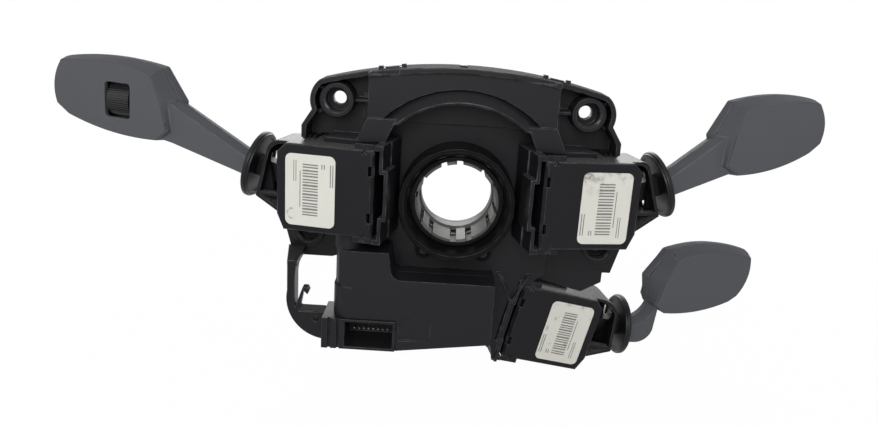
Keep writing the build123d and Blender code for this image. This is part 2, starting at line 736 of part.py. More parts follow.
def boss_ribs():
    """Ribs that tie the right upper boss to the rim and the plate's side wall."""
    near = UPPER_BOSS_FRONT + BOSS_RADIUS / 3
    low, high = UPPER_BOSS_Z - RIB_WALL / 2, UPPER_BOSS_Z + RIB_WALL / 2
    ribs = block((PLATE_HALF, near, low), (UPPER_BOSS_X, FLOOR_FRONT, high))
    reach = BOSS_GUARD - RIM_WALL / 2
    for turn in BOSS_RIB_TURNS:
        rib = block((0, near, -RIB_WALL / 2), (reach, FLOOR_FRONT, RIB_WALL / 2))
        ribs += Pos(UPPER_BOSS_X, 0, UPPER_BOSS_Z) * Rot(0, -turn, 0) * rib
    return ribs


def module_socket(proud):
    """Back plate, stepped inner wall and guide lips that hold a module, in the module's frame."""
    low, high = CASE_BOTTOM - RAIL_GAP, CASE_TOP + RAIL_GAP
    side = CASE_INNER - RAIL_GAP
    near, far = CASE_FACE - proud, CASE_BACK + SOCKET_PLATE
    socket = block((side, CASE_BACK, low), (CASE_OUTER - TOP_CHAMFER, far, high))
    socket += block((side - SOCKET_PLATE, -RAIL_SHELF, low), (side, far, high))
    levels = (low, CASE_BOTTOM + CLIP_DROP, CASE_TOP - CLIP_DROP, high)
    for bottom, top, shift in zip(levels, levels[1:], (0, RAIL_STEP, 0)):
        socket += block((side - shift - RAIL_WALL, near, bottom), (side - shift, 0, top))
    step_side = side - RAIL_STEP - RAIL_WALL
    socket += block((step_side, -RAIL_SHELF, levels[1]), (side, 0, levels[2]))
    for level in levels[1:3]:
        socket += block((step_side, near, level - RAIL_WALL / 2), (side, 0, level + RAIL_WALL / 2))
    for bottom, top in ((low, CASE_BOTTOM), (CASE_TOP, high)):
        socket += block((side - RAIL_WALL, COVER_INSIDE / 3, bottom), (CASE_INNER + LIP_REACH, far, top))
        socket += block((side - RAIL_WALL, CASE_FACE, bottom), (CASE_INNER, CASE_BACK, top))
    return socket


def lower_boss_bracket():
    """Plate from the right module's socket down to the lower screw boss."""
    near = LOWER_BOSS_FRONT + FLOOR_WALL
    far = near + FLOOR_WALL
    outline = polygon(
        [
            (LOWER_BOSS_X - 2 * BOSS_GUARD, UPPER_PIVOT[2] + CASE_BOTTOM + BOSS_RADIUS),
            (LOWER_BOSS_X + BOSS_RADIUS, UPPER_PIVOT[2] + CASE_BOTTOM + BOSS_RADIUS),
            (LOWER_BOSS_X + BOSS_GUARD, LOWER_BOSS_Z),
            (LOWER_BOSS_X + BOSS_RADIUS, BRACKET_BOTTOM),
            (LOWER_BOSS_X - BOSS_GUARD, BRACKET_BOTTOM),
            (LOWER_BOSS_X - 2 * BOSS_GUARD, BRACKET_BOTTOM + BOSS_RADIUS / 2),
        ]
    )
    spacer = block(
        (CASE_INNER / 2, CASE_BACK + SOCKET_PLATE / 2, CASE_BOTTOM - RAIL_GAP),
        (CASE_OUTER - 2 * TOP_CHAMFER, CASE_BACK + BOSS_GUARD, CASE_BOTTOM + BOSS_RADIUS),
    )
    return slab(outline, near, far) + UPPER_PLACE * spacer


def right_web():
    """Wall between the right lower boss and the lower module."""
    near = LOWER_BOSS_FRONT + FLOOR_WALL
    corner = (LOWER_PLACE * Pos(CASE_INNER, 0, CASE_TOP + RAIL_GAP)).position
    tip = (LOWER_PLACE * Pos(CASE_OUTER, 0, CASE_TOP + RAIL_GAP)).position
    outline = polygon(
        [
            (FLOOR_HALF - FLOOR_WALL, FLOOR_BOTTOM + FLOOR_WALL),
            (LOWER_BOSS_X - 2 * BOSS_GUARD, LOWER_BOSS_Z + BOSS_RADIUS),
            (LOWER_BOSS_X + BOSS_RADIUS / 2, LOWER_BOSS_Z),
            (LOWER_BOSS_X + BOSS_RADIUS / 2, tip.Z + BOSS_RADIUS),
            (tip.X - BOSS_GUARD, tip.Z + RAIL_GAP),
            (corner.X + RAIL_GAP, corner.Z),
        ]
    )
    return slab(outline, near, near + FLOOR_WALL)


def link_ribs():
    """Two thin walls that run from the floor down to the lower module's inner wall."""
    join = (LOWER_PLACE * Pos(CASE_INNER - RAIL_GAP - SOCKET_PLATE, CASE_FACE, CASE_TOP - CLIP_DROP)).position
    ribs = []
    for x in (BOX_RIGHT + FLOOR_WALL, (FLOOR_HALF + join.X) / 2):
        outline = polygon(
            [
                (x - RIB_WALL / 2, FLOOR_BOTTOM),
                (x + RIB_WALL / 2, FLOOR_BOTTOM),
                (join.X + RIB_WALL / 2, join.Z),
                (join.X - RIB_WALL / 2, join.Z),
            ]
        )
        ribs.append(slab(outline, FLOOR_FRONT - FLOOR_WALL, FLOOR_BACK))
    return ribs


def lower_link():
    """Web on the right from the floor down to the lower module's socket."""
    corner = (LOWER_PLACE * Pos(CASE_INNER - RAIL_GAP, CASE_FACE, CASE_TOP + RAIL_GAP)).position
    foot = (LOWER_PLACE * Pos(CASE_INNER - RAIL_GAP, CASE_FACE, CASE_BOTTOM - RAIL_GAP)).position
    outline = polygon(
        [
            (BOX_RIGHT + SEAT_GAP, FLOOR_BOTTOM + FLOOR_WALL),
            (FLOOR_HALF, FLOOR_BOTTOM + FLOOR_WALL),
            (FLOOR_HALF, FLOOR_BOTTOM),
            (corner.X + 2 * RAIL_GAP, corner.Z),
            (corner.X, corner.Z - RAIL_GAP),
            (foot.X, foot.Z),
            (foot.X - SOCKET_PLATE, foot.Z),
            (BOX_RIGHT + SEAT_GAP, BOX_BOTTOM),
        ]
    )
    return slab(outline, FLOOR_FRONT, FLOOR_BACK)


def carrier_frame():
    """The moulded carrier that everything is fixed to."""
    carrier = carrier_floor() + carrier_rim() + carrier_plate() + carrier_arch()
    carrier += both_sides(carrier_shoulder() + boss_ribs() + lower_boss_bracket())
    carrier += both_sides(UPPER_PLACE * module_socket(0))
    carrier += lower_link() + LOWER_PLACE * module_socket(LOWER_RAIL_PROUD)
    carrier += right_web()
    carrier += link_ribs()
    carrier -= disc(DRUM_RADIUS + HUB_CLEARANCE, FLOOR_BACK, COVER_BACK)
    skirt_front = COVER_FRONT - SKIRT_DEPTH - FLANGE_CLEARANCE
    carrier -= disc(COVER_RADIUS + FLANGE_CLEARANCE, skirt_front, 2 * COVER_BACK)
    lower_back = LOWER_BOSS_FRONT + LOWER_BOSS_LENGTH
    carrier += both_sides(screw_boss(UPPER_BOSS_X, UPPER_BOSS_Z, UPPER_BOSS_FRONT, FLOOR_BACK))
    carrier += both_sides(screw_boss(LOWER_BOSS_X, LOWER_BOSS_Z, LOWER_BOSS_FRONT, lower_back))
    carrier -= both_sides(boss_bore(UPPER_BOSS_X, UPPER_BOSS_Z, UPPER_BOSS_FRONT, FLOOR_BACK))
    carrier -= both_sides(boss_bore(LOWER_BOSS_X, LOWER_BOSS_Z, LOWER_BOSS_FRONT, lower_back))
    return carrier


# Electronics box, connector and cable guide


def box_outline():
    """Outline of the electronics box: a tall left part and a long lower part."""
    outline = polygon(
        [
            (BOX_LEFT, BOX_TOP),
            (BOX_STEP, BOX_TOP),
            (BOX_STEP + BOX_WALL, FLOOR_BOTTOM),
            (BOX_RIGHT, FLOOR_BOTTOM),
            (BOX_RIGHT, BOX_BOTTOM),
            (PLUG_RIGHT, PLUG_BOTTOM),
            (PLUG_RIGHT, PLUG_TOP),
            (BOX_LEFT, PLUG_TOP),
        ]
    )
    step = outline.vertices().sort_by_distance((BOX_STEP + BOX_WALL, FLOOR_BOTTOM, 0))[0]
    return fillet(step, BOX_STEP_ROUND)


def lower_box_outline():
    """The part of the box below the carrier's floor, which reaches further back."""
    below = Pos(0, FLOOR_BOTTOM + PLUG_BOTTOM) * Rectangle(4 * BOX_RIGHT - 4 * BOX_LEFT, -2 * PLUG_BOTTOM)
    return box_outline() & below


def left_edge_rounded(solid, radius):
    """A box-like solid with its front left upright edge rounded."""
    edges = solid.edges().filter_by(Axis.Z).group_by(Axis.X)[0]
    return fillet(edges.sort_by(Axis.Y)[0:1], radius)


def electronics_cover():
    """Front shell of the box: a round left edge in two steps, a post on top and a recessed panel."""
    form = left_edge_rounded(slab(box_outline(), BOX_FRONT, BOX_SPLIT), BOX_EDGE_ROUND)
    above = block((2 * BOX_LEFT, 2 * BOX_FRONT, COLUMN_STEP), (0, 0, 0))
    cover = form - (above - Pos(COLUMN_INSET, 0, 0) * form)
    post_spot = (BOX_LEFT + POST_RADIUS, BOX_FRONT + BOX_EDGE_ROUND, (BOX_TOP + POST_TOP) / 2)
    cover += Pos(*post_spot) * Cylinder(POST_RADIUS, POST_TOP - BOX_TOP)
    hollow = slab(offset(box_outline(), -BOX_WALL), BOX_FRONT + BOX_WALL, BOX_SPLIT + CUT_PAST)
    hollow = left_edge_rounded(hollow, BOX_EDGE_ROUND - BOX_WALL)
    cover -= hollow & (Pos(COLUMN_INSET, 0, 0) * hollow)
    panel = polygon(
        [
            (PLUG_RIGHT + BOX_WALL, PLUG_TOP + BOX_WALL),
            (BOX_PANEL_RIGHT, PLUG_TOP + BOX_WALL),
            (BOX_PANEL_RIGHT, BOX_BOTTOM),
            (PLUG_RIGHT + BOX_WALL, PLUG_BOTTOM + 3 * BOX_WALL),
        ]
    )
    return cover - slab(panel, BOX_FRONT - CUT_PAST, BOX_FRONT + BOX_WALL / 2)


def electronics_case():
    """Rear shell of the box, on the carrier's floor."""
    floor_inside = FLOOR_FRONT - BOX_WALL
    case = slab(box_outline(), BOX_SPLIT, FLOOR_FRONT) + slab(lower_box_outline(), FLOOR_FRONT, FLOOR_BACK)
    case -= slab(offset(box_outline(), -BOX_WALL), BOX_SPLIT - CUT_PAST, floor_inside)
    deep = offset(lower_box_outline(), -BOX_WALL)
    return case - slab(deep, floor_inside - CUT_PAST, FLOOR_BACK - BOX_WALL)


def main_board():
    """Circuit board in the box, on the rear shell's step."""
    outline = offset(box_outline(), -BOX_WALL - SEAT_GAP)
    far = FLOOR_FRONT - BOX_WALL
    return slab(outline, far - MAIN_BOARD_THICKNESS, far)


def pin_spots():
    """Places of the connector's pins."""
    mouth_right = PLUG_RIGHT - PLUG_WALL
    middle_x = (PLUG_MOUTH_LEFT + mouth_right) / 2
    middle_z = (PLUG_TOP + PLUG_BOTTOM) / 2
    spots = []
    for column in range(PIN_COLUMNS):
        for row in range(PIN_ROWS):
            x = middle_x + (column - (PIN_COLUMNS - 1) / 2) * PIN_PITCH
            z = middle_z + (row - (PIN_ROWS - 1) / 2) * PIN_ROW_PITCH
            spots.append((x, z))
    return spots


def connector_shell():
    """Socket for the vehicle's plug, open towards the column."""
    shell = block((PLUG_LEFT, PLUG_FRONT, PLUG_BOTTOM), (PLUG_RIGHT, PLUG_BACK, PLUG_TOP))
    mouth_end = PLUG_FRONT + PLUG_MOUTH_DEPTH
    shell -= block(
        (PLUG_MOUTH_LEFT, PLUG_FRONT - CUT_PAST, PLUG_BOTTOM + PLUG_WALL),
        (PLUG_RIGHT - PLUG_WALL, mouth_end, PLUG_TOP - PLUG_WALL),
    )
    for x in PLUG_GROOVES:
        shell -= Pos(x, PLUG_FRONT, PLUG_TOP) * Box(PLUG_GROOVE, 2 * PLUG_GROOVE, 4 * PLUG_MOUTH_DEPTH)
    hole = PIN_SIZE + 2 * RUNNING_FIT
    for x, z in pin_spots():
        shell -= Pos(x, PLUG_BACK, z) * Box(hole, 4 * PLUG_MOUTH_DEPTH, hole)
    return shell


def connector_pins():
    """Square pins in the connector."""
    middle = PLUG_FRONT + PLUG_MOUTH_DEPTH
    return Compound([Pos(x, middle, z) * Box(PIN_SIZE, PIN_LENGTH, PIN_SIZE) for x, z in pin_spots()])


def cable_guide():
    """Curved arm from the lower left boss to the connector, with a hook for the loom."""
    bend = GUIDE_LEFT + GUIDE_STRIP
    arm_right = GUIDE_LEFT + GUIDE_ARM
    swing = PLUG_TOP + GUIDE_SWING
    base = PLUG_BOTTOM + PLUG_WALL
    outline = make_face(
        [
            Line((arm_right, GUIDE_TOP), (GUIDE_LEFT, GUIDE_TOP)),
            Line((GUIDE_LEFT, GUIDE_TOP), (GUIDE_LEFT, swing)),
            bowed((GUIDE_LEFT, swing), (PLUG_LEFT, base), GUIDE_BOW),
            Line((PLUG_LEFT, base), (PLUG_LEFT, PLUG_TOP)),
            Line((PLUG_LEFT, PLUG_TOP), (bend + GUIDE_FLARE, PLUG_TOP)),
            Line((bend + GUIDE_FLARE, PLUG_TOP), (bend, PLUG_TOP + GUIDE_FLARE)),
            Line((bend, PLUG_TOP + GUIDE_FLARE), (bend, GUIDE_TOP - 2 * GUIDE_STRIP)),
            Line((bend, GUIDE_TOP - 2 * GUIDE_STRIP), (arm_right, GUIDE_TOP)),
        ]
    )
    arm = slab(outline, GUIDE_FRONT, GUIDE_BACK)
    hook_right = bend + GUIDE_STRIP + GUIDE_FLARE
    hook_top = PLUG_TOP + GUIDE_HOOK
    hook = polygon(
        [
            (bend, PLUG_TOP + GUIDE_FLARE / 2),
            (bend + GUIDE_FLARE, PLUG_TOP),
            (hook_right - GUIDE_TIP, hook_top - GUIDE_TIP),
            (hook_right, hook_top - 2 * GUIDE_TIP),
            (hook_right + GUIDE_TIP / 2, hook_top - GUIDE_TIP),
            (hook_right, hook_top),
            (bend + GUIDE_STRIP, hook_top),
        ]
    )
    arm += slab(hook, GUIDE_FRONT, (GUIDE_FRONT + GUIDE_BACK) / 2)
    strap_far = LOWER_BOSS_FRONT + FLOOR_WALL
    strap = polygon(
        [
            (GUIDE_LEFT, GUIDE_FRONT),
            (arm_right, GUIDE_FRONT),
            (arm_right, strap_far),
            (GUIDE_LEFT - GUIDE_SPLAY, strap_far),
        ]
    )
    arm += Pos(0, 0, GUIDE_TOP - FLOOR_WALL) * extrude(strap, amount=FLOOR_WALL)
    hole = (PLUG_LEFT - GUIDE_STRIP, PLUG_TOP - GUIDE_STRIP)
    return arm - disc(GUIDE_HOLE_RADIUS, GUIDE_FRONT - CUT_PAST, GUIDE_BACK + CUT_PAST, *hole)


# Switch modules


def case_outline():
    """Outline of a module's case with its two outer chamfers."""
    return polygon(
        [
            (CASE_INNER, CASE_BOTTOM),
            (CASE_OUTER - BOTTOM_CHAMFER, CASE_BOTTOM),
            (CASE_OUTER, CASE_BOTTOM + BOTTOM_CHAMFER_RISE),
            (CASE_OUTER, CASE_TOP - TOP_CHAMFER),
            (CASE_OUTER - TOP_CHAMFER, CASE_TOP),
            (CASE_INNER, CASE_TOP),
        ]
    )


def on_stalk(stalk, solid):
    """A solid from the stalk's frame, set in the module's frame."""
    return Rot(0, -stalk.angle, 0) * solid


def snout_outline(stalk, inset):
    """Outline of the snout that narrows towards the guard disc, across the stalk's axis."""
    length = stalk.reach - SNOUT_TO_DISC - inset
    half = SNOUT_HALF_HEIGHT - inset
    turn = radians(stalk.angle)
    tips = [
        (length * cos(turn) - side * half * sin(turn), length * sin(turn) + side * half * cos(turn))
        for side in (-1, 1)
    ]
    start = CASE_OUTER - TOP_CHAMFER - CASE_WALL
    low = (CASE_OUTER - CASE_WALL / 2, CASE_BOTTOM + BOTTOM_CHAMFER_RISE - CASE_WALL + inset)
    heel = (start, low[1])
    crest = (CASE_OUTER - inset, CASE_TOP - inset)
    shoulder = (start, CASE_TOP - inset)
    return make_face(
        [
            Line(low, tips[0]),
            Line(tips[0], tips[1]),
            bowed(tips[1], crest, SNOUT_BOW),
            Line(crest, shoulder),
            Line(shoulder, heel),
            Line(heel, low),
        ]
    )


def module_case(stalk):
    """Case with the snout, the rear trunnion boss and the detent track."""
    case = slab(case_outline(), COVER_INSIDE, CASE_BACK)
    snout = slab(snout_outline(stalk, 0), -SNOUT_HALF_DEPTH, SNOUT_HALF_DEPTH)
    hollow = snout_outline(stalk, SNOUT_WALL)
    snout -= slab(hollow, -SNOUT_HALF_DEPTH - CUT_PAST, SNOUT_HALF_DEPTH - SNOUT_WALL)
    rib_height = (stalk.reach - SNOUT_TO_DISC) * sin(radians(stalk.angle)) - SNOUT_HALF_HEIGHT + SNOUT_WALL
    rib = Pos(stalk.reach / 2, rib_height) * Rectangle(stalk.reach, RIB_WALL)
    snout += slab(snout_outline(stalk, SNOUT_WALL / 2) & rib, -SNOUT_HALF_DEPTH, 0)
    case = case + snout - slab(offset(case_outline(), -CASE_WALL), COVER_INSIDE - CUT_PAST, BACK_INSIDE)
    height = SHAFT_HEIGHT / 2 + LIFT_ROOM
    for start, end, depth in (
        (CORE_LENGTH / 2, CASE_OUTER + CASE_WALL, GIMBAL_DEPTH / 2 + 2 * END_PLAY),
        (CASE_OUTER, 2 * stalk.reach, SHAFT_DEPTH / 2 + PULL_ROOM),
    ):
        case -= on_stalk(stalk, block((start, -depth, -height), (end, depth, height)))
    boss_near = GIMBAL_DEPTH / 2 + END_PLAY
    case += disc(TRUNNION_RADIUS + TRUNNION_BOSS_WALL, boss_near, BACK_INSIDE + CASE_WALL / 2)
    case -= disc(TRUNNION_RADIUS + RUNNING_FIT, boss_near - CUT_PAST, BACK_INSIDE)
    return case + on_stalk(stalk, detent_track())


def detent_track():
    """Hollow track around the pivot for the detent plunger, with notches."""
    track_radius = -PLUNGER_TIP + CAM_GAP
    track = block(
        (-track_radius - CAM_DEPTH, CAM_NEAR, -CAM_HALF_HEIGHT),
        (-track_radius + CAM_DEPTH / 3, BACK_INSIDE + CASE_WALL / 2, CAM_HALF_HEIGHT),
    )
    track -= Sphere(track_radius)
    for turn in (-NOTCH_STEP, 0.0, NOTCH_STEP):
        notch = Pos(-track_radius, 0, 0) * Rot(90, 0, 0) * Cylinder(NOTCH_RADIUS, -2 * CAM_NEAR)
        track -= Rot(0, turn, 0) * notch
    return track


def module_cover():
    """Plate that closes the case towards the column, with the front trunnion boss."""
    plate = slab(case_outline(), CASE_FACE, COVER_INSIDE)
    plate = chamfer(plate.faces().sort_by(Axis.Y)[0].edges().sort_by(Axis.X)[1:], CASE_WALL / 3)
    plate = chamfer(plate.faces().sort_by(Axis.Y)[0].edges().sort_by(Axis.X)[0:1], INNER_EDGE_SLOPE)
    for z in (CASE_TOP - CLIP_DROP, CASE_BOTTOM + CLIP_DROP):
        plate -= Pos(CASE_INNER, CASE_FACE, z) * Box(2 * CLIP_NOTCH, 3 * CASE_WALL, CLIP_NOTCH_HEIGHT)
    ear_near, ear_left = CASE_FACE + CASE_WALL / 3, CASE_INNER + PART_LINE
    for z in (CASE_TOP, CASE_BOTTOM):
        ear = block((ear_left, ear_near, z - RAIL_GAP), (CASE_INNER + CLIP_EAR, COVER_INSIDE, z + RAIL_GAP))
        plate += ear
    for z in (CASE_TOP, CASE_BOTTOM):
        for turn in (-CLIP_MARK_TURN, CLIP_MARK_TURN):
            stroke = Rot(0, turn, 0) * Box(CLIP_MARK_WIDTH, CASE_WALL, CLIP_MARK)
            plate -= Pos(CASE_INNER + CLIP_MARK_INSET, CASE_FACE, z) * stroke
    boss_far = -GIMBAL_DEPTH / 2 - END_PLAY
    plate += disc(TRUNNION_RADIUS + TRUNNION_BOSS_WALL, COVER_INSIDE, boss_far)
    return plate - disc(TRUNNION_RADIUS + RUNNING_FIT, COVER_INSIDE, boss_far + CUT_PAST)


def module_label():
    """Paper label on the cover."""
    face = Pos(LABEL_X, LABEL_Z) * RectangleRounded(LABEL_WIDTH, LABEL_HEIGHT, LABEL_CORNER)
    return slab(face, CASE_FACE - LABEL_THICKNESS, CASE_FACE)


def contact_board():
    """Small circuit board on the inside of the cover."""
    inner = CASE_INNER + CLIP_NOTCH + SLIDE_GAP
    low = (inner, COVER_INSIDE, -BOARD_HEIGHT / 2)
    high = (inner + BOARD_WIDTH, COVER_INSIDE + BOARD_THICKNESS, BOARD_HEIGHT / 2)
    return block(low, high)


def gimbal():
    """Frame around the core: trunnions along y in the case, holes along z for the core's pins."""
    half_x, half_y, half_z = GIMBAL_LENGTH / 2, GIMBAL_DEPTH / 2, GIMBAL_HEIGHT / 2
    frame = block((-half_x, -half_y, -half_z), (half_x, half_y, half_z))
    frame -= block(
        (-GIMBAL_LENGTH, -half_y + GIMBAL_WALL, -half_z + GIMBAL_WALL),
        (GIMBAL_LENGTH, half_y - GIMBAL_WALL, half_z - GIMBAL_WALL),
    )
    frame -= Cylinder(PIVOT_RADIUS + RUNNING_FIT, 2 * GIMBAL_HEIGHT)
    frame += disc(TRUNNION_RADIUS, half_y, BACK_INSIDE - END_PLAY)
    return frame + disc(TRUNNION_RADIUS, COVER_INSIDE + END_PLAY, -half_y)


def lever_core(stalk):
    """Stalk core with pins along z, a shaft to the guard disc and a tail for the plunger."""
    core = Box(CORE_LENGTH, CORE_DEPTH, CORE_HEIGHT)
    core += Cylinder(PIVOT_RADIUS, GIMBAL_HEIGHT)
    seat = stalk.reach - DISC_WALL / 2
    core += block((0, -SHAFT_DEPTH / 2, -SHAFT_HEIGHT / 2), (seat, SHAFT_DEPTH / 2, SHAFT_HEIGHT / 2))
    core += block(
        (0, -TONGUE_DEPTH / 2, TONGUE_BOTTOM), (seat + DISC_WALL + stalk.tongue, TONGUE_DEPTH / 2, TONGUE_TOP)
    )
    core += rod(TAIL_RADIUS, TAIL_END, 0)
    return core - rod(PLUNGER_RADIUS + RUNNING_FIT, TAIL_END - CUT_PAST, SPRING_SEAT)


def tongue_socket(stalk, gap):
    """Room for the core's tongue, with a gap all around."""
    seat = stalk.reach - DISC_WALL / 2
    return block(
        (seat - CUT_PAST, -TONGUE_DEPTH / 2 - gap, TONGUE_BOTTOM - gap),
        (seat + DISC_WALL + stalk.tongue + gap, TONGUE_DEPTH / 2 + gap, TONGUE_TOP + gap),
    )


def detent_plunger():
    """Round-nosed plunger in the core's tail."""
    nose = PLUNGER_TIP + PLUNGER_RADIUS
    return rod(PLUNGER_RADIUS, nose, PLUNGER_BACK) + Pos(nose, 0, 0) * Sphere(PLUNGER_RADIUS)


def detent_spring():
    """Coil spring behind the plunger."""
    length = SPRING_SEAT - PLUNGER_BACK - SPRING_WIRE - 2 * SEAT_GAP
    coil_radius = PLUNGER_RADIUS - SPRING_WIRE / 2 - SEAT_GAP
    path = Helix(length / SPRING_TURNS, length, coil_radius)
    wire = Plane(origin=path @ 0, z_dir=path % 0) * Circle(SPRING_WIRE / 2)
    coil = sweep(wire, path=path)
    return Pos(PLUNGER_BACK + SEAT_GAP + SPRING_WIRE / 2, 0, 0) * Rot(0, 90, 0) * coil


def guard_disc(stalk):
    """Round guard between the snout and the stalk's neck, with a lip towards the module."""
    near, far = stalk.reach - DISC_WALL / 2, stalk.reach + DISC_WALL / 2
    guard = rod(DISC_RADIUS, near, far)
    guard = fillet(guard.edges().filter_by(GeomType.CIRCLE), DISC_WALL / 3)
    guard += rod(DISC_RADIUS - DISC_WALL / 3, near - DISC_LIP, near) - rod(
        DISC_RADIUS - DISC_WALL / 3 - DISC_LIP_WALL, near - DISC_LIP - CUT_PAST, near
    )
    return guard - tongue_socket(stalk, SEAT_GAP)


# Stalk shells


def head_outline(stalk, inset):
    """Outline of a stalk's head, drawn in from its parting line."""
    length = stalk.head_length
    shoulder = (HEAD_SHOULDER[0] + inset.neck, HEAD_SHOULDER[1] - inset.top / 4)
    inner_foot = (HEAD_INNER_FOOT[0] + inset.neck / 4, HEAD_INNER_FOOT[1] + inset.bottom / 2)
    foot = (HEAD_FOOT[0] + inset.neck / 4, HEAD_FOOT[1] + inset.bottom / 3)
    high, low, back = stalk.tip
    high_tip = (length + high[0] - 1.2 * inset.tip, high[1] - inset.top / 7)
    low_tip = (length + low[0] - inset.tip, low[1] + inset.bottom)
    heel = (length + back[0] - inset.tip, back[1] + inset.bottom)
    corner = (inset.neck / 3, -inset.top)
    outline = make_face(
        [
            Line(corner, shoulder),
            Line(shoulder, inner_foot),
            Line(inner_foot, foot),
            bowed(foot, heel, HEAD_BOTTOM_BOW),
            Line(heel, low_tip),
            bowed(low_tip, high_tip, HEAD_TIP_BOW),
            bowed(high_tip, corner, stalk.top_bow),
        ]
    )
    return Pos(*stalk.head_corner) * Rot(0, 0, stalk.head_turn) * outline


def straight_neck(stalk, top, bottom):
    """Outline of a straight neck from the guard disc into the head."""
    start = stalk.reach + DISC_WALL / 2
    corner_x, corner_z = stalk.head_corner
    end = corner_x - NECK_OVERLAP
    return polygon(
        [
            (start, NECK_BOTTOM + bottom),
            (end, corner_z + NECK_END_BOTTOM + bottom),
            (end, corner_z + NECK_END_TOP - top),
            (start, NECK_TOP - top),
        ]
    )


def cranked_neck(stalk, top, bottom):
    """Outline of a neck that turns up from the guard disc into the head."""
    start = stalk.reach + DISC_WALL / 2
    outer_x = stalk.head_corner[0] - RIB_WALL / 3
    high = stalk.head_corner[1] + CRANK_JOIN
    base_low, base_high = (start, CRANK_BOTTOM + bottom), (start, NECK_TOP - top)
    bend_low, bend_high = (start + CRANK_BEND, CRANK_BOTTOM + bottom), (outer_x - bottom, CRANK_RISE)
    join_outer, join_inner = (outer_x - bottom / 2, high), (outer_x - CRANK_WIDTH + top, high)
    crook = (start + CRANK_CROOK + top / 2, NECK_TOP - top)
    return make_face(
        [
            Line(base_low, bend_low),
            bowed(bend_low, bend_high, CRANK_OUTER_BOW),
            Line(bend_high, join_outer),
            Line(join_outer, join_inner),
            bowed(join_inner, crook, CRANK_INNER_BOW - top / 2),
            Line(crook, base_high),
            Line(base_high, base_low),
        ]
    )


def neck_outline(stalk, top, bottom):
    """Outline of the stalk's neck, drawn in from its parting line."""
    return cranked_neck(stalk, top, bottom) if stalk.cranked else straight_neck(stalk, top, bottom)


def rear_form(stalk, parting_depth):
    """Solid form of the column-side half of the stalk, up to the parting depth."""
    face = section(head_outline(stalk, REAR_FACE), -REAR_DEPTH)
    head = loft([face, section(head_outline(stalk, PARTING), -parting_depth)], ruled=True)
    head = fillet(head.faces().sort_by(Axis.Y)[0].edges(), FACE_ROUND)
    neck_face = section(neck_outline(stalk, NECK_TOP_INSET, NECK_BOTTOM_INSET), -NECK_DEPTH)
    neck = loft([neck_face, section(neck_outline(stalk, 0, 0), -parting_depth)], ruled=True)
    return head + neck


def front_form(stalk, parting_depth):
    """Solid form of the driver-side half of the stalk, from the parting depth."""
    parting = section(head_outline(stalk, PARTING), parting_depth)
    wide = section(head_outline(stalk, WIDEST), WIDE_DEPTH)
    face = section(head_outline(stalk, FRONT_FACE), FRONT_DEPTH)
    head = loft([wide, face], ruled=True)
    head = fillet(head.faces().sort_by(Axis.Y)[-1].edges(), FRONT_ROUND)
    head += loft([parting, wide], ruled=True)
    neck_start = section(neck_outline(stalk, 0, 0), parting_depth)
    neck_face = section(neck_outline(stalk, NECK_TOP_INSET / 2, NECK_BOTTOM_INSET), NECK_FRONT_DEPTH)
    neck = loft([neck_start, neck_face], ruled=True)
    return head + neck


def head_cavity(stalk):
    """Hollow inside the head, shared by both shells."""
    outline = offset(head_outline(stalk, REAR_FACE), -SHELL_WALL)
    return slab(outline, SHELL_WALL - REAR_DEPTH, FRONT_DEPTH - SHELL_WALL - FRONT_ROUND)


def in_head(stalk, solid):
    """A solid from the head's frame, set in the stalk's frame."""
    x, z = stalk.head_corner
    return Pos(x, 0, z) * Rot(0, -stalk.head_turn, 0) * solid


def button_block(stalk, gap, travel):
    """Block at the tip for the end button, widened by a gap and lengthened by its travel."""
    length = stalk.head_length
    low = (length - BUTTON_LENGTH - travel, -BUTTON_DEPTH / 2 - gap, BUTTON_Z - BUTTON_HEIGHT / 2 - gap)
    high = (length + HEAD_TIP_BOW, BUTTON_DEPTH / 2 + gap, BUTTON_Z + BUTTON_HEIGHT / 2 + gap)
    return in_head(stalk, block(low, high))


def end_button(stalk):
    """Button set flush in the stalk's tip."""
    return (rear_form(stalk, 0) + front_form(stalk, 0)) & button_block(stalk, 0, 0)


def in_wheel(stalk, solid):
    """A solid from the thumbwheel's frame, with its axle along x, set in the stalk's frame."""
    return in_head(stalk, Pos(WHEEL_PLACE[0], 0, WHEEL_PLACE[1]) * Rot(0, WHEEL_LEAN, 0) * solid)


def wheel_well(stalk):
    """Room for the thumbwheel, and its window in the rear face."""
    well = rod(WHEEL_RADIUS + WHEEL_GAP, -WHEEL_WIDTH / 2 - WHEEL_GAP, WHEEL_WIDTH / 2 + WHEEL_GAP)
    window = block(
        (-WINDOW_WIDTH / 2, -2 * REAR_DEPTH, -WINDOW_HEIGHT / 2), (WINDOW_WIDTH / 2, 0, WINDOW_HEIGHT / 2)
    )
    window = fillet(window.edges().filter_by(Axis.Y), WINDOW_ROUND)
    return in_wheel(stalk, well + window)


def wheel_cheeks(stalk):
    """Two cheeks in the front shell that carry the wheel's axle."""
    near = WHEEL_WIDTH / 2 + WHEEL_GAP
    low = -2 * WHEEL_AXLE_RADIUS
    cheek = block((near, low, low), (near + CHEEK_WALL, FRONT_DEPTH - SHELL_WALL, -low))
    cheeks = both_sides(cheek) - rod(WHEEL_AXLE_RADIUS + RUNNING_FIT, -4 * near, 4 * near)
    return in_wheel(stalk, cheeks)


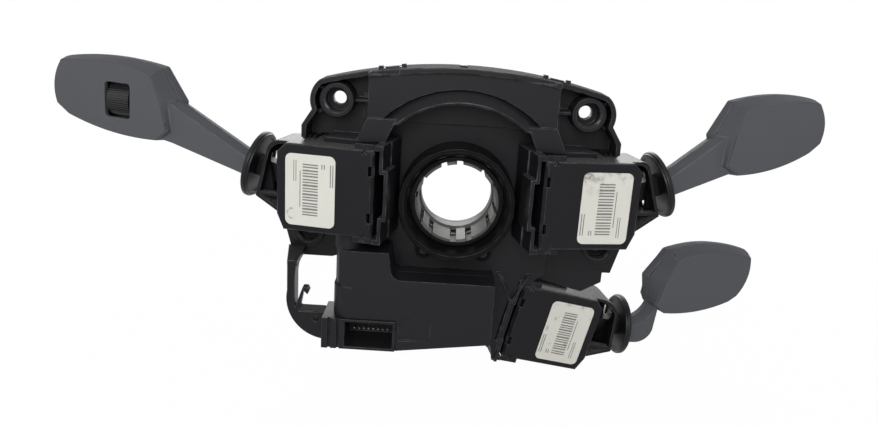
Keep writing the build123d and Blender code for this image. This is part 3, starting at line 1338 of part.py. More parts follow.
def thumbwheel(stalk):
    """Ribbed wheel that shows in the rear face's window."""
    points = []
    for k in range(2 * WHEEL_RIBS):
        radius = WHEEL_RADIUS if k % 2 else WHEEL_RADIUS - WHEEL_RIB_DEPTH
        for shift in (-WHEEL_RIB_FLANK, WHEEL_RIB_FLANK):
            turn = radians((k + shift) * 180 / WHEEL_RIBS)
            points.append((radius * cos(turn), radius * sin(turn)))
    face = polygon(points) - Circle(WHEEL_AXLE_RADIUS + SEAT_GAP / 4)
    wheel = extrude(face, amount=WHEEL_WIDTH / 2, both=True)
    return in_wheel(stalk, Rot(0, 90, 0) * wheel)


def wheel_axle(stalk):
    """Pin through the thumbwheel and both cheeks."""
    half = WHEEL_WIDTH / 2 + WHEEL_GAP + CHEEK_WALL
    return in_wheel(stalk, rod(WHEEL_AXLE_RADIUS, -half, half))


def hollowed(stalk, form):
    """A half of the stalk without the head's hollow and the end button's way."""
    return form - head_cavity(stalk) - button_block(stalk, SLIDE_GAP, BUTTON_TRAVEL + SLIDE_GAP)


def rear_shell(stalk):
    """Column-side shell of the stalk."""
    shell = hollowed(stalk, rear_form(stalk, PART_LINE / 2))
    if stalk.thumbwheel:
        shell -= wheel_well(stalk)
    return shell - tongue_socket(stalk, SEAT_GAP)


def front_shell(stalk):
    """Driver-side shell of the stalk."""
    shell = hollowed(stalk, front_form(stalk, PART_LINE / 2))
    if stalk.thumbwheel:
        shell = shell - wheel_well(stalk) + wheel_cheeks(stalk)
    return shell - tongue_socket(stalk, SEAT_GAP)


def module_nodes(stalk):
    """All pieces of one switch module and its stalk, in the module's frame."""
    nodes = {
        "case": module_case(stalk),
        "cover": module_cover(),
        "label": module_label(),
        "contact_board": contact_board(),
        "gimbal": on_stalk(stalk, gimbal()),
        "lever_core": on_stalk(stalk, lever_core(stalk)),
        "detent_plunger": on_stalk(stalk, detent_plunger()),
        "detent_spring": on_stalk(stalk, detent_spring()),
        "guard_disc": on_stalk(stalk, guard_disc(stalk)),
        "rear_shell": on_stalk(stalk, rear_shell(stalk)),
        "front_shell": on_stalk(stalk, front_shell(stalk)),
        "end_button": on_stalk(stalk, end_button(stalk)),
    }
    if stalk.thumbwheel:
        nodes["thumbwheel"] = on_stalk(stalk, thumbwheel(stalk))
        nodes["wheel_axle"] = on_stalk(stalk, wheel_axle(stalk))
    return {f"{stalk.name}_{piece}": solid for piece, solid in nodes.items()}


def fixed_nodes():
    """Pieces around the bore and the electronics box."""
    return {
        "carrier_frame": carrier_frame(),
        "angle_sensor_case": angle_sensor_case(),
        "sensor_screws": sensor_screws(),
        "sensor_reader": sensor_reader(),
        "coil_case": coil_case(),
        "ribbon_coil": ribbon_coil(),
        "rotor_sleeve": rotor_sleeve(),
        "rotor_hub": rotor_hub(),
        "rotor_cover": rotor_cover(),
        "code_disc": code_disc(),
        "wheel_socket": wheel_socket(),
        "electronics_case": electronics_case(),
        "electronics_cover": electronics_cover(),
        "main_board": main_board(),
        "connector_shell": connector_shell(),
        "connector_pins": connector_pins(),
        "cable_guide": cable_guide(),
    }


def all_nodes():
    """Every piece of the switch in the shared frame, by name."""
    nodes = fixed_nodes()
    for name, solid in module_nodes(WIPER).items():
        nodes[name] = mirror(UPPER_PLACE * solid, about=Plane.YZ)
    for name, solid in module_nodes(INDICATOR).items():
        nodes[name] = UPPER_PLACE * solid
    for name, solid in module_nodes(CRUISE).items():
        nodes[name] = LOWER_PLACE * solid
    return nodes


os.makedirs("parts", exist_ok=True)
for node, shape in all_nodes().items():
    export_step(shape, f"parts/{node}.step")
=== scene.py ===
import json
import logging
import math
from dataclasses import dataclass, field, replace
from enum import Enum
from typing import ClassVar, Optional, Sequence, Union

import bmesh
import bpy
from mathutils import Matrix, Vector
from mathutils.bvhtree import BVHTree

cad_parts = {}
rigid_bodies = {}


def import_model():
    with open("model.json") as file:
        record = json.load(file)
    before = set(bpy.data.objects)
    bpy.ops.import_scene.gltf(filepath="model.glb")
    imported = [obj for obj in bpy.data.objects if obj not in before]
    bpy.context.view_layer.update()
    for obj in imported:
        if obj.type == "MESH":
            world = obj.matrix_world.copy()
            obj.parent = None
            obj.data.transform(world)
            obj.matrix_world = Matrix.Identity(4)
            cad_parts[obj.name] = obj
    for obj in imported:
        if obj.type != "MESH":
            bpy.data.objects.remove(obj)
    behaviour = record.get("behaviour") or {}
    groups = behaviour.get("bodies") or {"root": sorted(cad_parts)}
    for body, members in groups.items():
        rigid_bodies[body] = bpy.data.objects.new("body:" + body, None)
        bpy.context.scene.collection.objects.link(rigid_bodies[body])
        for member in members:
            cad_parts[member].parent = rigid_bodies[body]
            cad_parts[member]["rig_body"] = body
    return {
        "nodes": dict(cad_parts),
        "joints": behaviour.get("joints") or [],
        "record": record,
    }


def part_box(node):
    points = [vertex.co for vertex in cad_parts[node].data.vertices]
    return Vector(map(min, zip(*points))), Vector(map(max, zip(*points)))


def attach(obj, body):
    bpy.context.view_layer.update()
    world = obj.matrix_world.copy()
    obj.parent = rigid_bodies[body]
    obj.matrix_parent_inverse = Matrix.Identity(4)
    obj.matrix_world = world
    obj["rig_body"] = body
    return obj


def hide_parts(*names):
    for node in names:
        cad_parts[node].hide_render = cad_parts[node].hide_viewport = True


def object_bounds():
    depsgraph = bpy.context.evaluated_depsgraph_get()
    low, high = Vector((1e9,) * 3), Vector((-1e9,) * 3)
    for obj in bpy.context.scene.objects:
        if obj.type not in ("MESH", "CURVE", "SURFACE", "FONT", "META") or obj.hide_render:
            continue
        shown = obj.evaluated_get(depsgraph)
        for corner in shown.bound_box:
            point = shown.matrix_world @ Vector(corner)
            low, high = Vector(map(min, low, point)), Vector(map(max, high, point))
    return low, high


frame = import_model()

CAD_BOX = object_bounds()
LOG = logging.getLogger("stalk_switch")

# Lengths are in metres, except where a docstring says millimetres.
MM = 0.001
MERGE_DISTANCE = 2e-7
FACE_TOLERANCE = 1e-5
FLAT_ANGLE = math.radians(0.8)
EDGE_ANGLE = math.radians(24.0)
SHARP_ANGLE = math.radians(38.0)
EDGE_SEGMENTS = 2
EDGE_LAYER = "rounded_edge"
FAR_OUT = 1.0
NOISE_MIDDLE = 0.5

Pair = tuple[float, float]
Point = tuple[float, float, float]
Colour = tuple[float, float, float]
Number = Union[float, int, "Value"]


class Side(Enum):
    """Side of the column that a module stands on, as the sign of its outward x."""

    LEFT = -1
    RIGHT = 1


class Value:
    """A shader socket that can be used in arithmetic."""

    def __init__(self, sheet: "Sheet", socket: bpy.types.NodeSocket) -> None:
        """Wraps one output socket of a node on a sheet."""
        self.sheet = sheet
        self.socket = socket

    def _math(self, operation: str, first: Number, second: Number) -> "Value":
        """Adds a Math node on two values."""
        return self.sheet.node("ShaderNodeMath", {"operation": operation}, {0: first, 1: second})

    def __add__(self, other: Number) -> "Value":
        """Sum of two values."""
        return self._math("ADD", self, other)

    def __radd__(self, other: Number) -> "Value":
        """Sum with a plain number on the left."""
        return self._math("ADD", other, self)

    def __sub__(self, other: Number) -> "Value":
        """Difference of two values."""
        return self._math("SUBTRACT", self, other)

    def __rsub__(self, other: Number) -> "Value":
        """Difference with a plain number on the left."""
        return self._math("SUBTRACT", other, self)

    def __mul__(self, other: Number) -> "Value":
        """Product of two values."""
        return self._math("MULTIPLY", self, other)

    def __rmul__(self, other: Number) -> "Value":
        """Product with a plain number on the left."""
        return self._math("MULTIPLY", other, self)

    def __gt__(self, other: Number) -> "Value":
        """1 where this value is the larger one, else 0."""
        return self._math("GREATER_THAN", self, other)

    def __lt__(self, other: Number) -> "Value":
        """1 where this value is the smaller one, else 0."""
        return self._math("LESS_THAN", self, other)

    def sine(self) -> "Value":
        """Sine of the value in radians."""
        return self._math("SINE", self, 0.0)

    def inside(self, low: float, high: float) -> "Value":
        """1 between two numbers, else 0."""
        return (self > low) * (self < high)

    def smooth(self, low: float, high: float) -> "Value":
        """Smooth step from 0 at low to 1 at high."""
        settings = {"interpolation_type": "SMOOTHSTEP"}
        return self.sheet.node("ShaderNodeMapRange", settings, {0: self, 1: low, 2: high, 3: 0.0, 4: 1.0})


class Sheet:
    """A node tree under construction."""

    def __init__(self, tree: bpy.types.NodeTree) -> None:
        """Starts from a tree's present nodes."""
        self.tree = tree

    def node(
        self,
        kind: str,
        settings: Optional[dict] = None,
        sockets: Optional[dict] = None,
        out: Union[int, str] = 0,
    ) -> Value:
        """Adds a node.

        Args:
            kind: the node's type.
            settings: the node's own properties.
            sockets: numbers, colours or values for its inputs, by index or name.
            out: which output is returned.

        Returns:
            The chosen output as a value.
        """
        made = self.tree.nodes.new(kind)
        for key, setting in (settings or {}).items():
            setattr(made, key, setting)
        for key, given in (sockets or {}).items():
            self.feed(made.inputs[key], given)
        return Value(self, made.outputs[out])

    def feed(self, target: bpy.types.NodeSocket, given: Union[Number, Sequence[float]]) -> None:
        """Links a value to an input, or sets a constant on it."""
        if isinstance(given, Value):
            self.tree.links.new(given.socket, target)
        else:
            target.default_value = given

    def seen(self) -> Value:
        """1 for rays of the camera, of reflections and through clear things, else 0."""
        names = ("Camera", "Glossy", "Transmission")
        camera, glossy, clear = (self.node("ShaderNodeLightPath", out=f"Is {name} Ray") for name in names)
        return camera + glossy + clear

    def length(self, vector: Value) -> Value:
        """Length of a vector."""
        return self.node("ShaderNodeVectorMath", {"operation": "LENGTH"}, {0: vector}, out=1)


class Shader(Sheet):
    """One material under construction, with a Principled shader as its surface."""

    def __init__(self, name: str) -> None:
        """Makes an empty material of that name."""
        self.material = bpy.data.materials.new(name)
        self.material.use_nodes = True
        super().__init__(self.material.node_tree)
        self.surface = self.tree.nodes["Principled BSDF"]

    def put(self, **inputs: Union[Number, Sequence[float]]) -> None:
        """Feeds the surface's inputs, named with underscores for spaces."""
        for name, given in inputs.items():
            self.feed(self.surface.inputs[name.replace("_", " ").title().replace("Ior", "IOR")], given)

    def coordinates(self) -> Value:
        """Object coordinates, in metres."""
        return self.node("ShaderNodeTexCoord", out="Object")

    def noise(self, where: Value, size: float, detail: float = 3.0) -> Value:
        """Noise whose features are about size metres across."""
        return self.node("ShaderNodeTexNoise", {}, {"Vector": where, "Scale": 1.0 / size, "Detail": detail})

    def mix(self, factor: Number, first: Union[Value, Colour], second: Union[Value, Colour]) -> Value:
        """Blend of two colours."""
        colours = [c if isinstance(c, Value) else (*c, 1.0) for c in (first, second)]
        sockets = {0: factor, 6: colours[0], 7: colours[1]}
        return self.node("ShaderNodeMix", {"data_type": "RGBA"}, sockets, out=2)

    def parts(self, vector: Value) -> tuple[Value, Value, Value]:
        """The x, y and z parts of a vector."""
        outputs = self.node("ShaderNodeSeparateXYZ", {}, {0: vector}).socket.node.outputs
        return Value(self, outputs[0]), Value(self, outputs[1]), Value(self, outputs[2])

    def bump(self, height: Value, strength: float, distance: float) -> Value:
        """Bump from a height."""
        return self.node("ShaderNodeBump", {}, {"Strength": strength, "Distance": distance, "Height": height})


def scaled(colour: Colour, factor: float) -> Colour:
    """A colour made lighter or darker."""
    return tuple(min(1.0, channel * factor) for channel in colour)


@dataclass(frozen=True)
class MouldedPlastic:
    """Injection-moulded plastic with a spark-eroded grain, a painted highlight along its rounded edges and a
    paler top that is partly dust and partly painted light.

    Names in _SIZE are lengths of a pattern, and names in _STEP say where a smooth step starts and ends.
    """

    name: str
    colour: Colour
    roughness: float = 0.5
    grain: float = 0.35 * MM
    grain_depth: float = 0.02 * MM
    mottle: float = 0.08
    dust: float = 0.05
    # Colour factor on rounded edges: a painted highlight along the edges.
    edge_highlight: float = 1.7
    specular: float = 0.2
    scuffs: float = 0.03
    # Share of pale colour on faces that look up: partly dust and partly painted top light.
    top_dust_and_light: float = 0.0
    top_matte: float = 0.0
    # Radius from the shaft's axis beyond which the colour is darkened as painted shade.
    shaded_beyond: float = 0.0

    MOTTLE_SIZE: ClassVar[float] = 18.0 * MM
    MOTTLE_ROUGHNESS: ClassVar[float] = 0.05
    GRAIN_ROUGHNESS: ClassVar[float] = 0.08
    GRAIN_STRENGTH: ClassVar[float] = 0.55
    SPECK_SIZE: ClassVar[float] = 1.1 * MM
    SPECK_STEP: ClassVar[Pair] = (0.66, 0.80)
    DUST_AND_TOP_LIGHT_COLOUR: ClassVar[Colour] = (0.45, 0.44, 0.42)
    TOP_DUST_AND_LIGHT_SIZE: ClassVar[float] = 1.2 * MM
    TOP_DUST_AND_LIGHT_STEP: ClassVar[Pair] = (0.1, 0.9)
    UPWARD_STEP: ClassVar[Pair] = (0.5, 0.95)
    WEAR_HIGHLIGHT_SIZE: ClassVar[float] = 5.0 * MM
    WEAR_HIGHLIGHT_STEP: ClassVar[Pair] = (0.35, 0.65)
    WEAR_POLISH: ClassVar[float] = 0.08
    RUB_SIZE: ClassVar[float] = 2.2 * MM
    RUB_STRETCH: ClassVar[Point] = (1.0, 1.0, 0.12)
    RUB_STEP: ClassVar[Pair] = (0.58, 0.74)
    RUB_SPREAD_STEP: ClassVar[Pair] = (0.5, 0.7)
    PAINTED_SHADE: ClassVar[float] = 0.06

    def material(self) -> bpy.types.Material:
        """Builds the plastic.

        Returns:
            The material.
        """
        shader = Shader(self.name)
        where = shader.coordinates()
        slow = shader.noise(where, self.MOTTLE_SIZE)
        fine = shader.noise(where, self.grain, detail=2.0)
        edge = shader.node("ShaderNodeAttribute", {"attribute_name": EDGE_LAYER}, out=2)
        # Patches of the rounded edges: painted highlight in the colour, and wear in the roughness.
        wear_and_highlight = edge * shader.noise(where, self.WEAR_HIGHLIGHT_SIZE).smooth(*self.WEAR_HIGHLIGHT_STEP)
        normal = shader.node("ShaderNodeTexCoord", out="Normal")
        upward = shader.parts(normal)[2].smooth(*self.UPWARD_STEP)
        dust_and_top_light = self.dust_and_top_light(shader, where, slow, upward)
        # Rounded edges take the lighter colour where the mask is set: painted highlight.
        tone = shader.mix(wear_and_highlight, dust_and_top_light, scaled(self.colour, self.edge_highlight))
        # Nearly black beyond that radius: painted shade on the hub's outer tube.
        if self.shaded_beyond:
            tone = shader.mix(self.outside(shader, where), tone, scaled(self.colour, self.PAINTED_SHADE))
        stretched = shader.node("ShaderNodeMapping", {}, {"Vector": where, "Scale": self.RUB_STRETCH})
        rubbed = shader.noise(stretched, self.RUB_SIZE, detail=5.0).smooth(*self.RUB_STEP)
        rubbed = rubbed * slow.smooth(*self.RUB_SPREAD_STEP)
        flat = self.roughness + self.MOTTLE_ROUGHNESS * (slow - NOISE_MIDDLE)
        flat = flat + self.GRAIN_ROUGHNESS * (fine - NOISE_MIDDLE)
        polish = self.WEAR_POLISH * wear_and_highlight + self.scuffs * rubbed
        shader.put(base_color=tone, specular_ior_level=self.specular)
        shader.put(roughness=flat - polish + self.top_matte * upward)
        shader.put(normal=shader.bump(fine, self.GRAIN_STRENGTH, self.grain_depth))
        return shader.material

    def dust_and_top_light(self, shader: Shader, where: Value, slow: Value, upward: Value) -> Value:
        """Mottled colour of the plastic under specks of dust, made paler on faces that look up: partly
        settled dust and partly painted light on the tops.

        Args:
            shader: the plastic's shader.
            where: object coordinates.
            slow: the mottle's noise.
            upward: 1 on faces that look up, else 0.

        Returns:
            The colour.
        """
        shade = shader.mix(slow, scaled(self.colour, 1 - self.mottle), scaled(self.colour, 1 + self.mottle))
        specks = shader.noise(where, self.SPECK_SIZE, detail=4.0).smooth(*self.SPECK_STEP)
        # Pale patches on faces that look up: partly settled dust and partly painted light on the tops.
        settled_dust_and_light = shader.noise(where, self.TOP_DUST_AND_LIGHT_SIZE, detail=6.0).smooth(*self.TOP_DUST_AND_LIGHT_STEP)
        share = specks * slow * self.dust + upward * settled_dust_and_light * self.top_dust_and_light
        return shader.mix(share, shade, self.DUST_AND_TOP_LIGHT_COLOUR)

    def outside(self, shader: Shader, where: Value) -> Value:
        """1 further from the shaft's axis than the radius of the painted shade, else 0.

        Args:
            shader: the plastic's shader.
            where: object coordinates.

        Returns:
            The share.
        """
        flattened = shader.node("ShaderNodeMapping", {}, {"Vector": where, "Scale": (1.0, 0.0, 1.0)})
        return shader.length(flattened) > self.shaded_beyond


@dataclass(frozen=True)
class PlatedMetal:
    """Plated or turned metal with fine marks."""

    name: str
    colour: Colour
    roughness: float = 0.32

    MARK_SIZE: ClassVar[float] = 0.5 * MM
    MARK_DEPTH: ClassVar[float] = 0.01 * MM
    MARK_STRENGTH: ClassVar[float] = 0.3
    MARK_ROUGHNESS: ClassVar[float] = 0.2
    STAIN_SIZE: ClassVar[float] = 4.0 * MM
    STAIN_STEP: ClassVar[Pair] = (0.45, 0.8)
    STAIN_SHADE: ClassVar[float] = 0.6

    def material(self) -> bpy.types.Material:
        """Builds the metal.

        Returns:
            The material.
        """
        shader = Shader(self.name)
        where = shader.coordinates()
        marks = shader.noise(where, self.MARK_SIZE, detail=4.0)
        stain = shader.noise(where, self.STAIN_SIZE).smooth(*self.STAIN_STEP)
        shader.put(base_color=shader.mix(stain, self.colour, scaled(self.colour, self.STAIN_SHADE)))
        shader.put(roughness=self.roughness + self.MARK_ROUGHNESS * (marks - NOISE_MIDDLE), metallic=1.0)
        shader.put(normal=shader.bump(marks, self.MARK_STRENGTH, self.MARK_DEPTH))
        return shader.material


@dataclass(frozen=True)
class CircuitBoard:
    """Lacquered board with copper tracks under the lacquer."""

    name: str
    lacquer: Colour = (0.008, 0.030, 0.016)
    copper: Colour = (0.020, 0.065, 0.030)

    TRACK_PITCH: ClassVar[float] = 2.5 * MM
    TRACK_STEP: ClassVar[Pair] = (0.42, 0.46)
    TRACK_DEPTH: ClassVar[float] = 0.03 * MM
    TRACK_STRENGTH: ClassVar[float] = 0.4
    ROUGHNESS: ClassVar[float] = 0.3
    TRACK_ROUGHNESS: ClassVar[float] = 0.1

    def material(self) -> bpy.types.Material:
        """Builds the board.

        Returns:
            The material.
        """
        shader = Shader(self.name)
        sockets = {"Vector": shader.coordinates(), "Scale": 1.0 / self.TRACK_PITCH}
        cells = shader.node("ShaderNodeTexVoronoi", {"distance": "CHEBYCHEV"}, sockets)
        tracks = cells.smooth(*self.TRACK_STEP)
        shader.put(base_color=shader.mix(tracks, self.lacquer, self.copper))
        shader.put(roughness=self.ROUGHNESS + self.TRACK_ROUGHNESS * tracks)
        shader.put(normal=shader.bump(tracks, self.TRACK_STRENGTH, self.TRACK_DEPTH))
        return shader.material


@dataclass(frozen=True)
class CoatedFilm:
    """Smooth film of the flat cable."""

    name: str
    colour: Colour

    WAVE_SIZE: ClassVar[float] = 6.0 * MM
    WAVE_SHADE: ClassVar[float] = 0.8
    ROUGHNESS: ClassVar[float] = 0.28
    WAVE_ROUGHNESS: ClassVar[float] = 0.12

    def material(self) -> bpy.types.Material:
        """Builds the film.

        Returns:
            The material.
        """
        shader = Shader(self.name)
        waves = shader.noise(shader.coordinates(), self.WAVE_SIZE)
        shader.put(base_color=shader.mix(waves, scaled(self.colour, self.WAVE_SHADE), self.colour))
        shader.put(roughness=self.ROUGHNESS + self.WAVE_ROUGHNESS * waves)
        return shader.material


@dataclass(frozen=True)
class LabelStock:
    """Off-white sticker with generic stripes and plain lines, placed in millimetres in the label's own frame.

    Each row of lines holds its left, right, lower and upper edge.
    """

    name: str = "label_print"
    place: Matrix = field(default_factory=Matrix)
    paper: Colour = (0.535, 0.528, 0.480)
    ink: Colour = (0.05, 0.048, 0.048)
    soil: Colour = (0.16, 0.15, 0.135)
    top_dirt: float = 0.0
    scuffs: float = 0.0
    corner_smudge: float = 0.0
    stripes: Pair = (-4.0, 3.75)
    stripe_reach: Pair = (-13.4, 12.7)
    stripe_beat: float = 4.3
    second_beat: float = 1.37
    second_share: float = 0.55
    second_shift: float = 0.7
    stripe_level: float = -0.05
    lines: tuple[tuple[float, float, float, float], ...] = (
        (-11.6, -11.1, -13.4, -2.6),
        (-10.4, -9.9, -13.4, -2.6),
        (-7.3, -6.8, -13.4, -11.0),
        (-6.1, -5.6, -13.4, -11.0),
        (4.75, 5.2, -9.5, 8.5),
        (6.9, 7.3, -14.5, -4.2),
        (8.0, 8.4, -14.5, -4.2),
    )

    FADE_SIZE: ClassVar[float] = 1.2 * MM
    FADE_DEPTH: ClassVar[float] = 0.02 * MM
    FADE_STRENGTH: ClassVar[float] = 0.2
    FADE_ROUGHNESS: ClassVar[float] = 0.2
    ROUGHNESS: ClassVar[float] = 0.42
    INK_SHARE: ClassVar[float] = 0.66
    INK_FADE: ClassVar[float] = 0.3
    AGE_SIZE: ClassVar[float] = 14.0 * MM
    AGE_SHADE: ClassVar[float] = 0.9
    AGE_SHARE: ClassVar[float] = 0.5
    CLOUD_SIZE: ClassVar[float] = 6.0 * MM
    CLOUD_STEP: ClassVar[Pair] = (0.42, 0.66)
    GRIT_SIZE: ClassVar[float] = 1.6 * MM
    TOP_STEP: ClassVar[Pair] = (3.0, 16.0)
    TOP_GRIT_STEP: ClassVar[Pair] = (0.4, 0.62)
    TOP_PLAIN_SHARE: ClassVar[float] = 0.5
    SCUFF_SIZE: ClassVar[float] = 4.0 * MM
    SCUFF_STEP: ClassVar[Pair] = (0.6, 0.72)
    RING_CENTRE: ClassVar[Pair] = (-5.0, 8.0)
    RING_SQUARES: ClassVar[Pair] = (1.7, 2.9)
    RING_SHARE: ClassVar[float] = 0.3
    SMUDGE_CENTRE: ClassVar[Pair] = (9.0, 12.0)
    SMUDGE_INNER_STEP: ClassVar[Pair] = (3.0, 6.0)
    SMUDGE_OUTER_STEP: ClassVar[Pair] = (6.5, 10.0)
    SMUDGE_SIDE_STEP: ClassVar[Pair] = (7.5, 10.0)
    SMUDGE_GRIT_STEP: ClassVar[Pair] = (0.3, 0.6)

    def material(self) -> bpy.types.Material:
        """Builds the label's print.

        Returns:
            The material.
        """
        shader = Shader(self.name)
        where = shader.coordinates()
        sockets = {
            "Vector": where,
            "Location": self.place.translation,
            "Rotation": tuple(self.place.to_euler()),
            "Scale": (MM, MM, MM),
        }
        across, _, up = shader.parts(shader.node("ShaderNodeMapping", {"vector_type": "TEXTURE"}, sockets))
        fade = shader.noise(where, self.FADE_SIZE, detail=4.0)
        age = shader.noise(where, self.AGE_SIZE) * self.AGE_SHARE
        paper = shader.mix(age, self.paper, scaled(self.paper, self.AGE_SHADE))
        paper = shader.mix(self.dirt(shader, where, across, up), paper, self.soil)
        ink = self.printed(across, up) * (self.INK_SHARE + self.INK_FADE * fade)
        shader.put(base_color=shader.mix(ink, paper, self.ink))
        shader.put(roughness=self.ROUGHNESS + self.FADE_ROUGHNESS * fade)
        shader.put(normal=shader.bump(fade, self.FADE_STRENGTH, self.FADE_DEPTH))
        return shader.material

    def printed(self, across: Value, up: Value) -> Value:
        """1 on the stripes and lines, else 0.

        Args:
            across: place across the label, in millimetres.
            up: place up the label, in millimetres.

        Returns:
            The print.
        """
        second = (self.second_beat * self.stripe_beat * up + self.second_shift).sine()
        wave = (self.stripe_beat * up).sine() + self.second_share * second
        ink = (wave > self.stripe_level) * across.inside(*self.stripes) * up.inside(*self.stripe_reach)
        for left, right, low, high in self.lines:
            ink = ink + across.inside(left, right) * up.inside(low, high)
        return ink

    def dirt(self, shader: Shader, where: Value, across: Value, up: Value) -> Value:
        """Share of dirt over the label.

        Args:
            shader: the label's shader.
            where: object coordinates.
            across: place across the label, in millimetres.
            up: place up the label, in millimetres.

        Returns:
            The share, from 0 to 1.
        """
        cloud = shader.noise(where, self.CLOUD_SIZE, detail=6.0)
        grit = shader.noise(where, self.GRIT_SIZE, detail=6.0)
        top = cloud.smooth(*self.CLOUD_STEP) * up.smooth(*self.TOP_STEP)
        top = top * (self.TOP_PLAIN_SHARE + grit.smooth(*self.TOP_GRIT_STEP)) * self.top_dirt
        scuff = shader.noise(where, self.SCUFF_SIZE, detail=8.0).smooth(*self.SCUFF_STEP) * self.scuffs
        ring = self.square_from(self.RING_CENTRE, across, up).inside(*self.RING_SQUARES)
        ring = ring * self.scuffs * self.RING_SHARE
        bow = self.square_from(self.SMUDGE_CENTRE, across, up)
        band = bow.smooth(*self.SMUDGE_INNER_STEP) - bow.smooth(*self.SMUDGE_OUTER_STEP)
        smudge = band * across.smooth(*self.SMUDGE_SIDE_STEP) * grit.smooth(*self.SMUDGE_GRIT_STEP)
        return top + scuff + ring + smudge * self.corner_smudge

    @staticmethod
    def square_from(centre: Pair, across: Value, up: Value) -> Value:
        """Squared distance from a point of the label."""
        return (across - centre[0]) * (across - centre[0]) + (up - centre[1]) * (up - centre[1])


class Finishes:
    """All finishes of the switch, each made once."""

    PLASTICS: ClassVar[tuple[MouldedPlastic, ...]] = (
        MouldedPlastic(
            "carrier_black", (0.0078, 0.0080, 0.0092), 0.38,
            edge_highlight=6.0, dust=0.07, specular=0.15, top_dust_and_light=0.06, top_matte=0.45,
        ),
        MouldedPlastic("sensor_dark", (0.0042, 0.0042, 0.0047), 0.42, edge_highlight=3.0, specular=0.05),
        MouldedPlastic("box_black", (0.0085, 0.0084, 0.0098), 0.44, edge_highlight=3.0, specular=0.16),
        MouldedPlastic("rotor_grey", (0.082, 0.080, 0.076), 0.45, edge_highlight=1.4, dust=0.02, specular=0.2),
        # Grey hub whose outer tube is darkened as painted shade.
        MouldedPlastic(
            "hub_grey_painted_shade", (0.066, 0.064, 0.061), 0.45,
            edge_highlight=1.4, dust=0.02, specular=0.08, shaded_beyond=20.8 * MM,
        ),
        MouldedPlastic(
            "module_black", (0.0062, 0.0060, 0.0075), 0.40,
            edge_highlight=6.0, dust=0.06, specular=0.15, top_dust_and_light=0.30,
        ),
        MouldedPlastic("disc_black", (0.0060, 0.0062, 0.0072), 0.36, edge_highlight=2.0),
        MouldedPlastic("core_dark", (0.007, 0.007, 0.0075), 0.45),
        MouldedPlastic(
            "stalk_charcoal", (0.068, 0.070, 0.077), 0.62, grain=0.30 * MM, grain_depth=0.03 * MM,
            mottle=0.05, dust=0.02, edge_highlight=1.3, specular=0.10, scuffs=0.04,
        ),
        MouldedPlastic("wheel_black", (0.012, 0.012, 0.013), 0.30, edge_highlight=2.0, specular=0.4),
        MouldedPlastic("code_dark", (0.01, 0.01, 0.011), 0.25),
    )
    OTHERS: ClassVar[tuple[Union[PlatedMetal, CircuitBoard, CoatedFilm], ...]] = (
        PlatedMetal("zinc_steel", (0.30, 0.30, 0.31), 0.4),
        PlatedMetal("blacked_steel", (0.035, 0.035, 0.037), 0.45),
        PlatedMetal("tinned_brass", (0.32, 0.30, 0.25), 0.4),
        CircuitBoard("board_green"),
        CoatedFilm("ribbon_amber", (0.45, 0.26, 0.08)),
    )

    def __init__(self) -> None:
        """Builds every finish."""
        self.by_name = {finish.name: finish.material() for finish in self.PLASTICS + self.OTHERS}

    def __getitem__(self, name: str) -> bpy.types.Material:
        """A finish by its name."""
        return self.by_name[name]


def body_of(node: str) -> str:
    """Name of the body that a node belongs to."""
    return frame["nodes"][node]["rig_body"]


def slot_of(node: str) -> str:
    """Name of the record's material slot that a node uses."""
    return next(part["material_slot"] for part in frame["record"]["subparts"] if part["node"] == node)


def dress(node: str, material: bpy.types.Material) -> None:
    """Gives a CAD node a finish and leaves its mesh alone.

    Args:
        node: the CAD node.
        material: its finish.
    """
    mesh = frame["nodes"][node].data
    mesh.materials.clear()
    mesh.materials.append(material)
    LOG.info("dressed %s", node)


def add_piece(
    name: str, bm: bmesh.types.BMesh, material: bpy.types.Material, body: str
) -> bpy.types.Object:
    """Turns a bmesh into a smooth-shaded piece that rides on a body.

    Args:
        name: the piece's name.
        bm: its shape, in the shared frame; it is freed.
        material: its finish.
        body: the body that it moves with.

    Returns:
        The new object.
    """
    mesh = bpy.data.meshes.new(name)
    bm.to_mesh(mesh)
    bm.free()
    mesh.materials.append(material)
    mesh.polygons.foreach_set("use_smooth", [True] * len(mesh.polygons))
    mesh.set_sharp_from_angle(angle=SHARP_ANGLE)
    piece = bpy.data.objects.new(name, mesh)
    bpy.context.scene.collection.objects.link(piece)
    weighted = piece.modifiers.new("even_normals", "WEIGHTED_NORMAL")
    weighted.keep_sharp = True
    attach(piece, body)
    LOG.info("made %s on %s", name, body)
    return piece


@dataclass(frozen=True)
class Block:
    """Plain box of a trim piece, by its centre and its size in millimetres."""

    centre: Point
    size: Point

    def add(self, bm: bmesh.types.BMesh) -> None:
        """Adds the box to a shape."""
        place = Matrix.Scale(MM, 4) @ Matrix.Translation(self.centre) @ Matrix.Diagonal((*self.size, 1.0))
        bmesh.ops.create_cube(bm, size=1.0, matrix=place)


@dataclass(frozen=True)
class Trim:
    """Small fixed piece made of blocks with rounded edges."""

    blocks: tuple[Block, ...]
    edge: float
    slot: str

    def build(self, name: str, place: Matrix, material: bpy.types.Material) -> None:
        """Makes the piece and fixes it to the column.

        Args:
            name: the piece's name.
            place: the frame that its blocks stand in.
            material: its finish.
        """
        bm = bmesh.new()
        for block in self.blocks:
            block.add(bm)
        bmesh.ops.bevel(
            bm, geom=list(bm.edges), offset=self.edge, affect="EDGES", segments=EDGE_SEGMENTS,
            profile=0.5, clamp_overlap=True, material=-1,
        )
        bmesh.ops.transform(bm, matrix=place, verts=bm.verts)
        bmesh.ops.recalc_face_normals(bm, faces=bm.faces)
        add_piece(name, bm, material, "root")


def surface_tree(node: str) -> BVHTree:
    """Search tree over a CAD node's faces."""
    mesh = frame["nodes"][node].data
    return BVHTree.FromPolygons([v.co for v in mesh.vertices], [p.vertices for p in mesh.polygons])


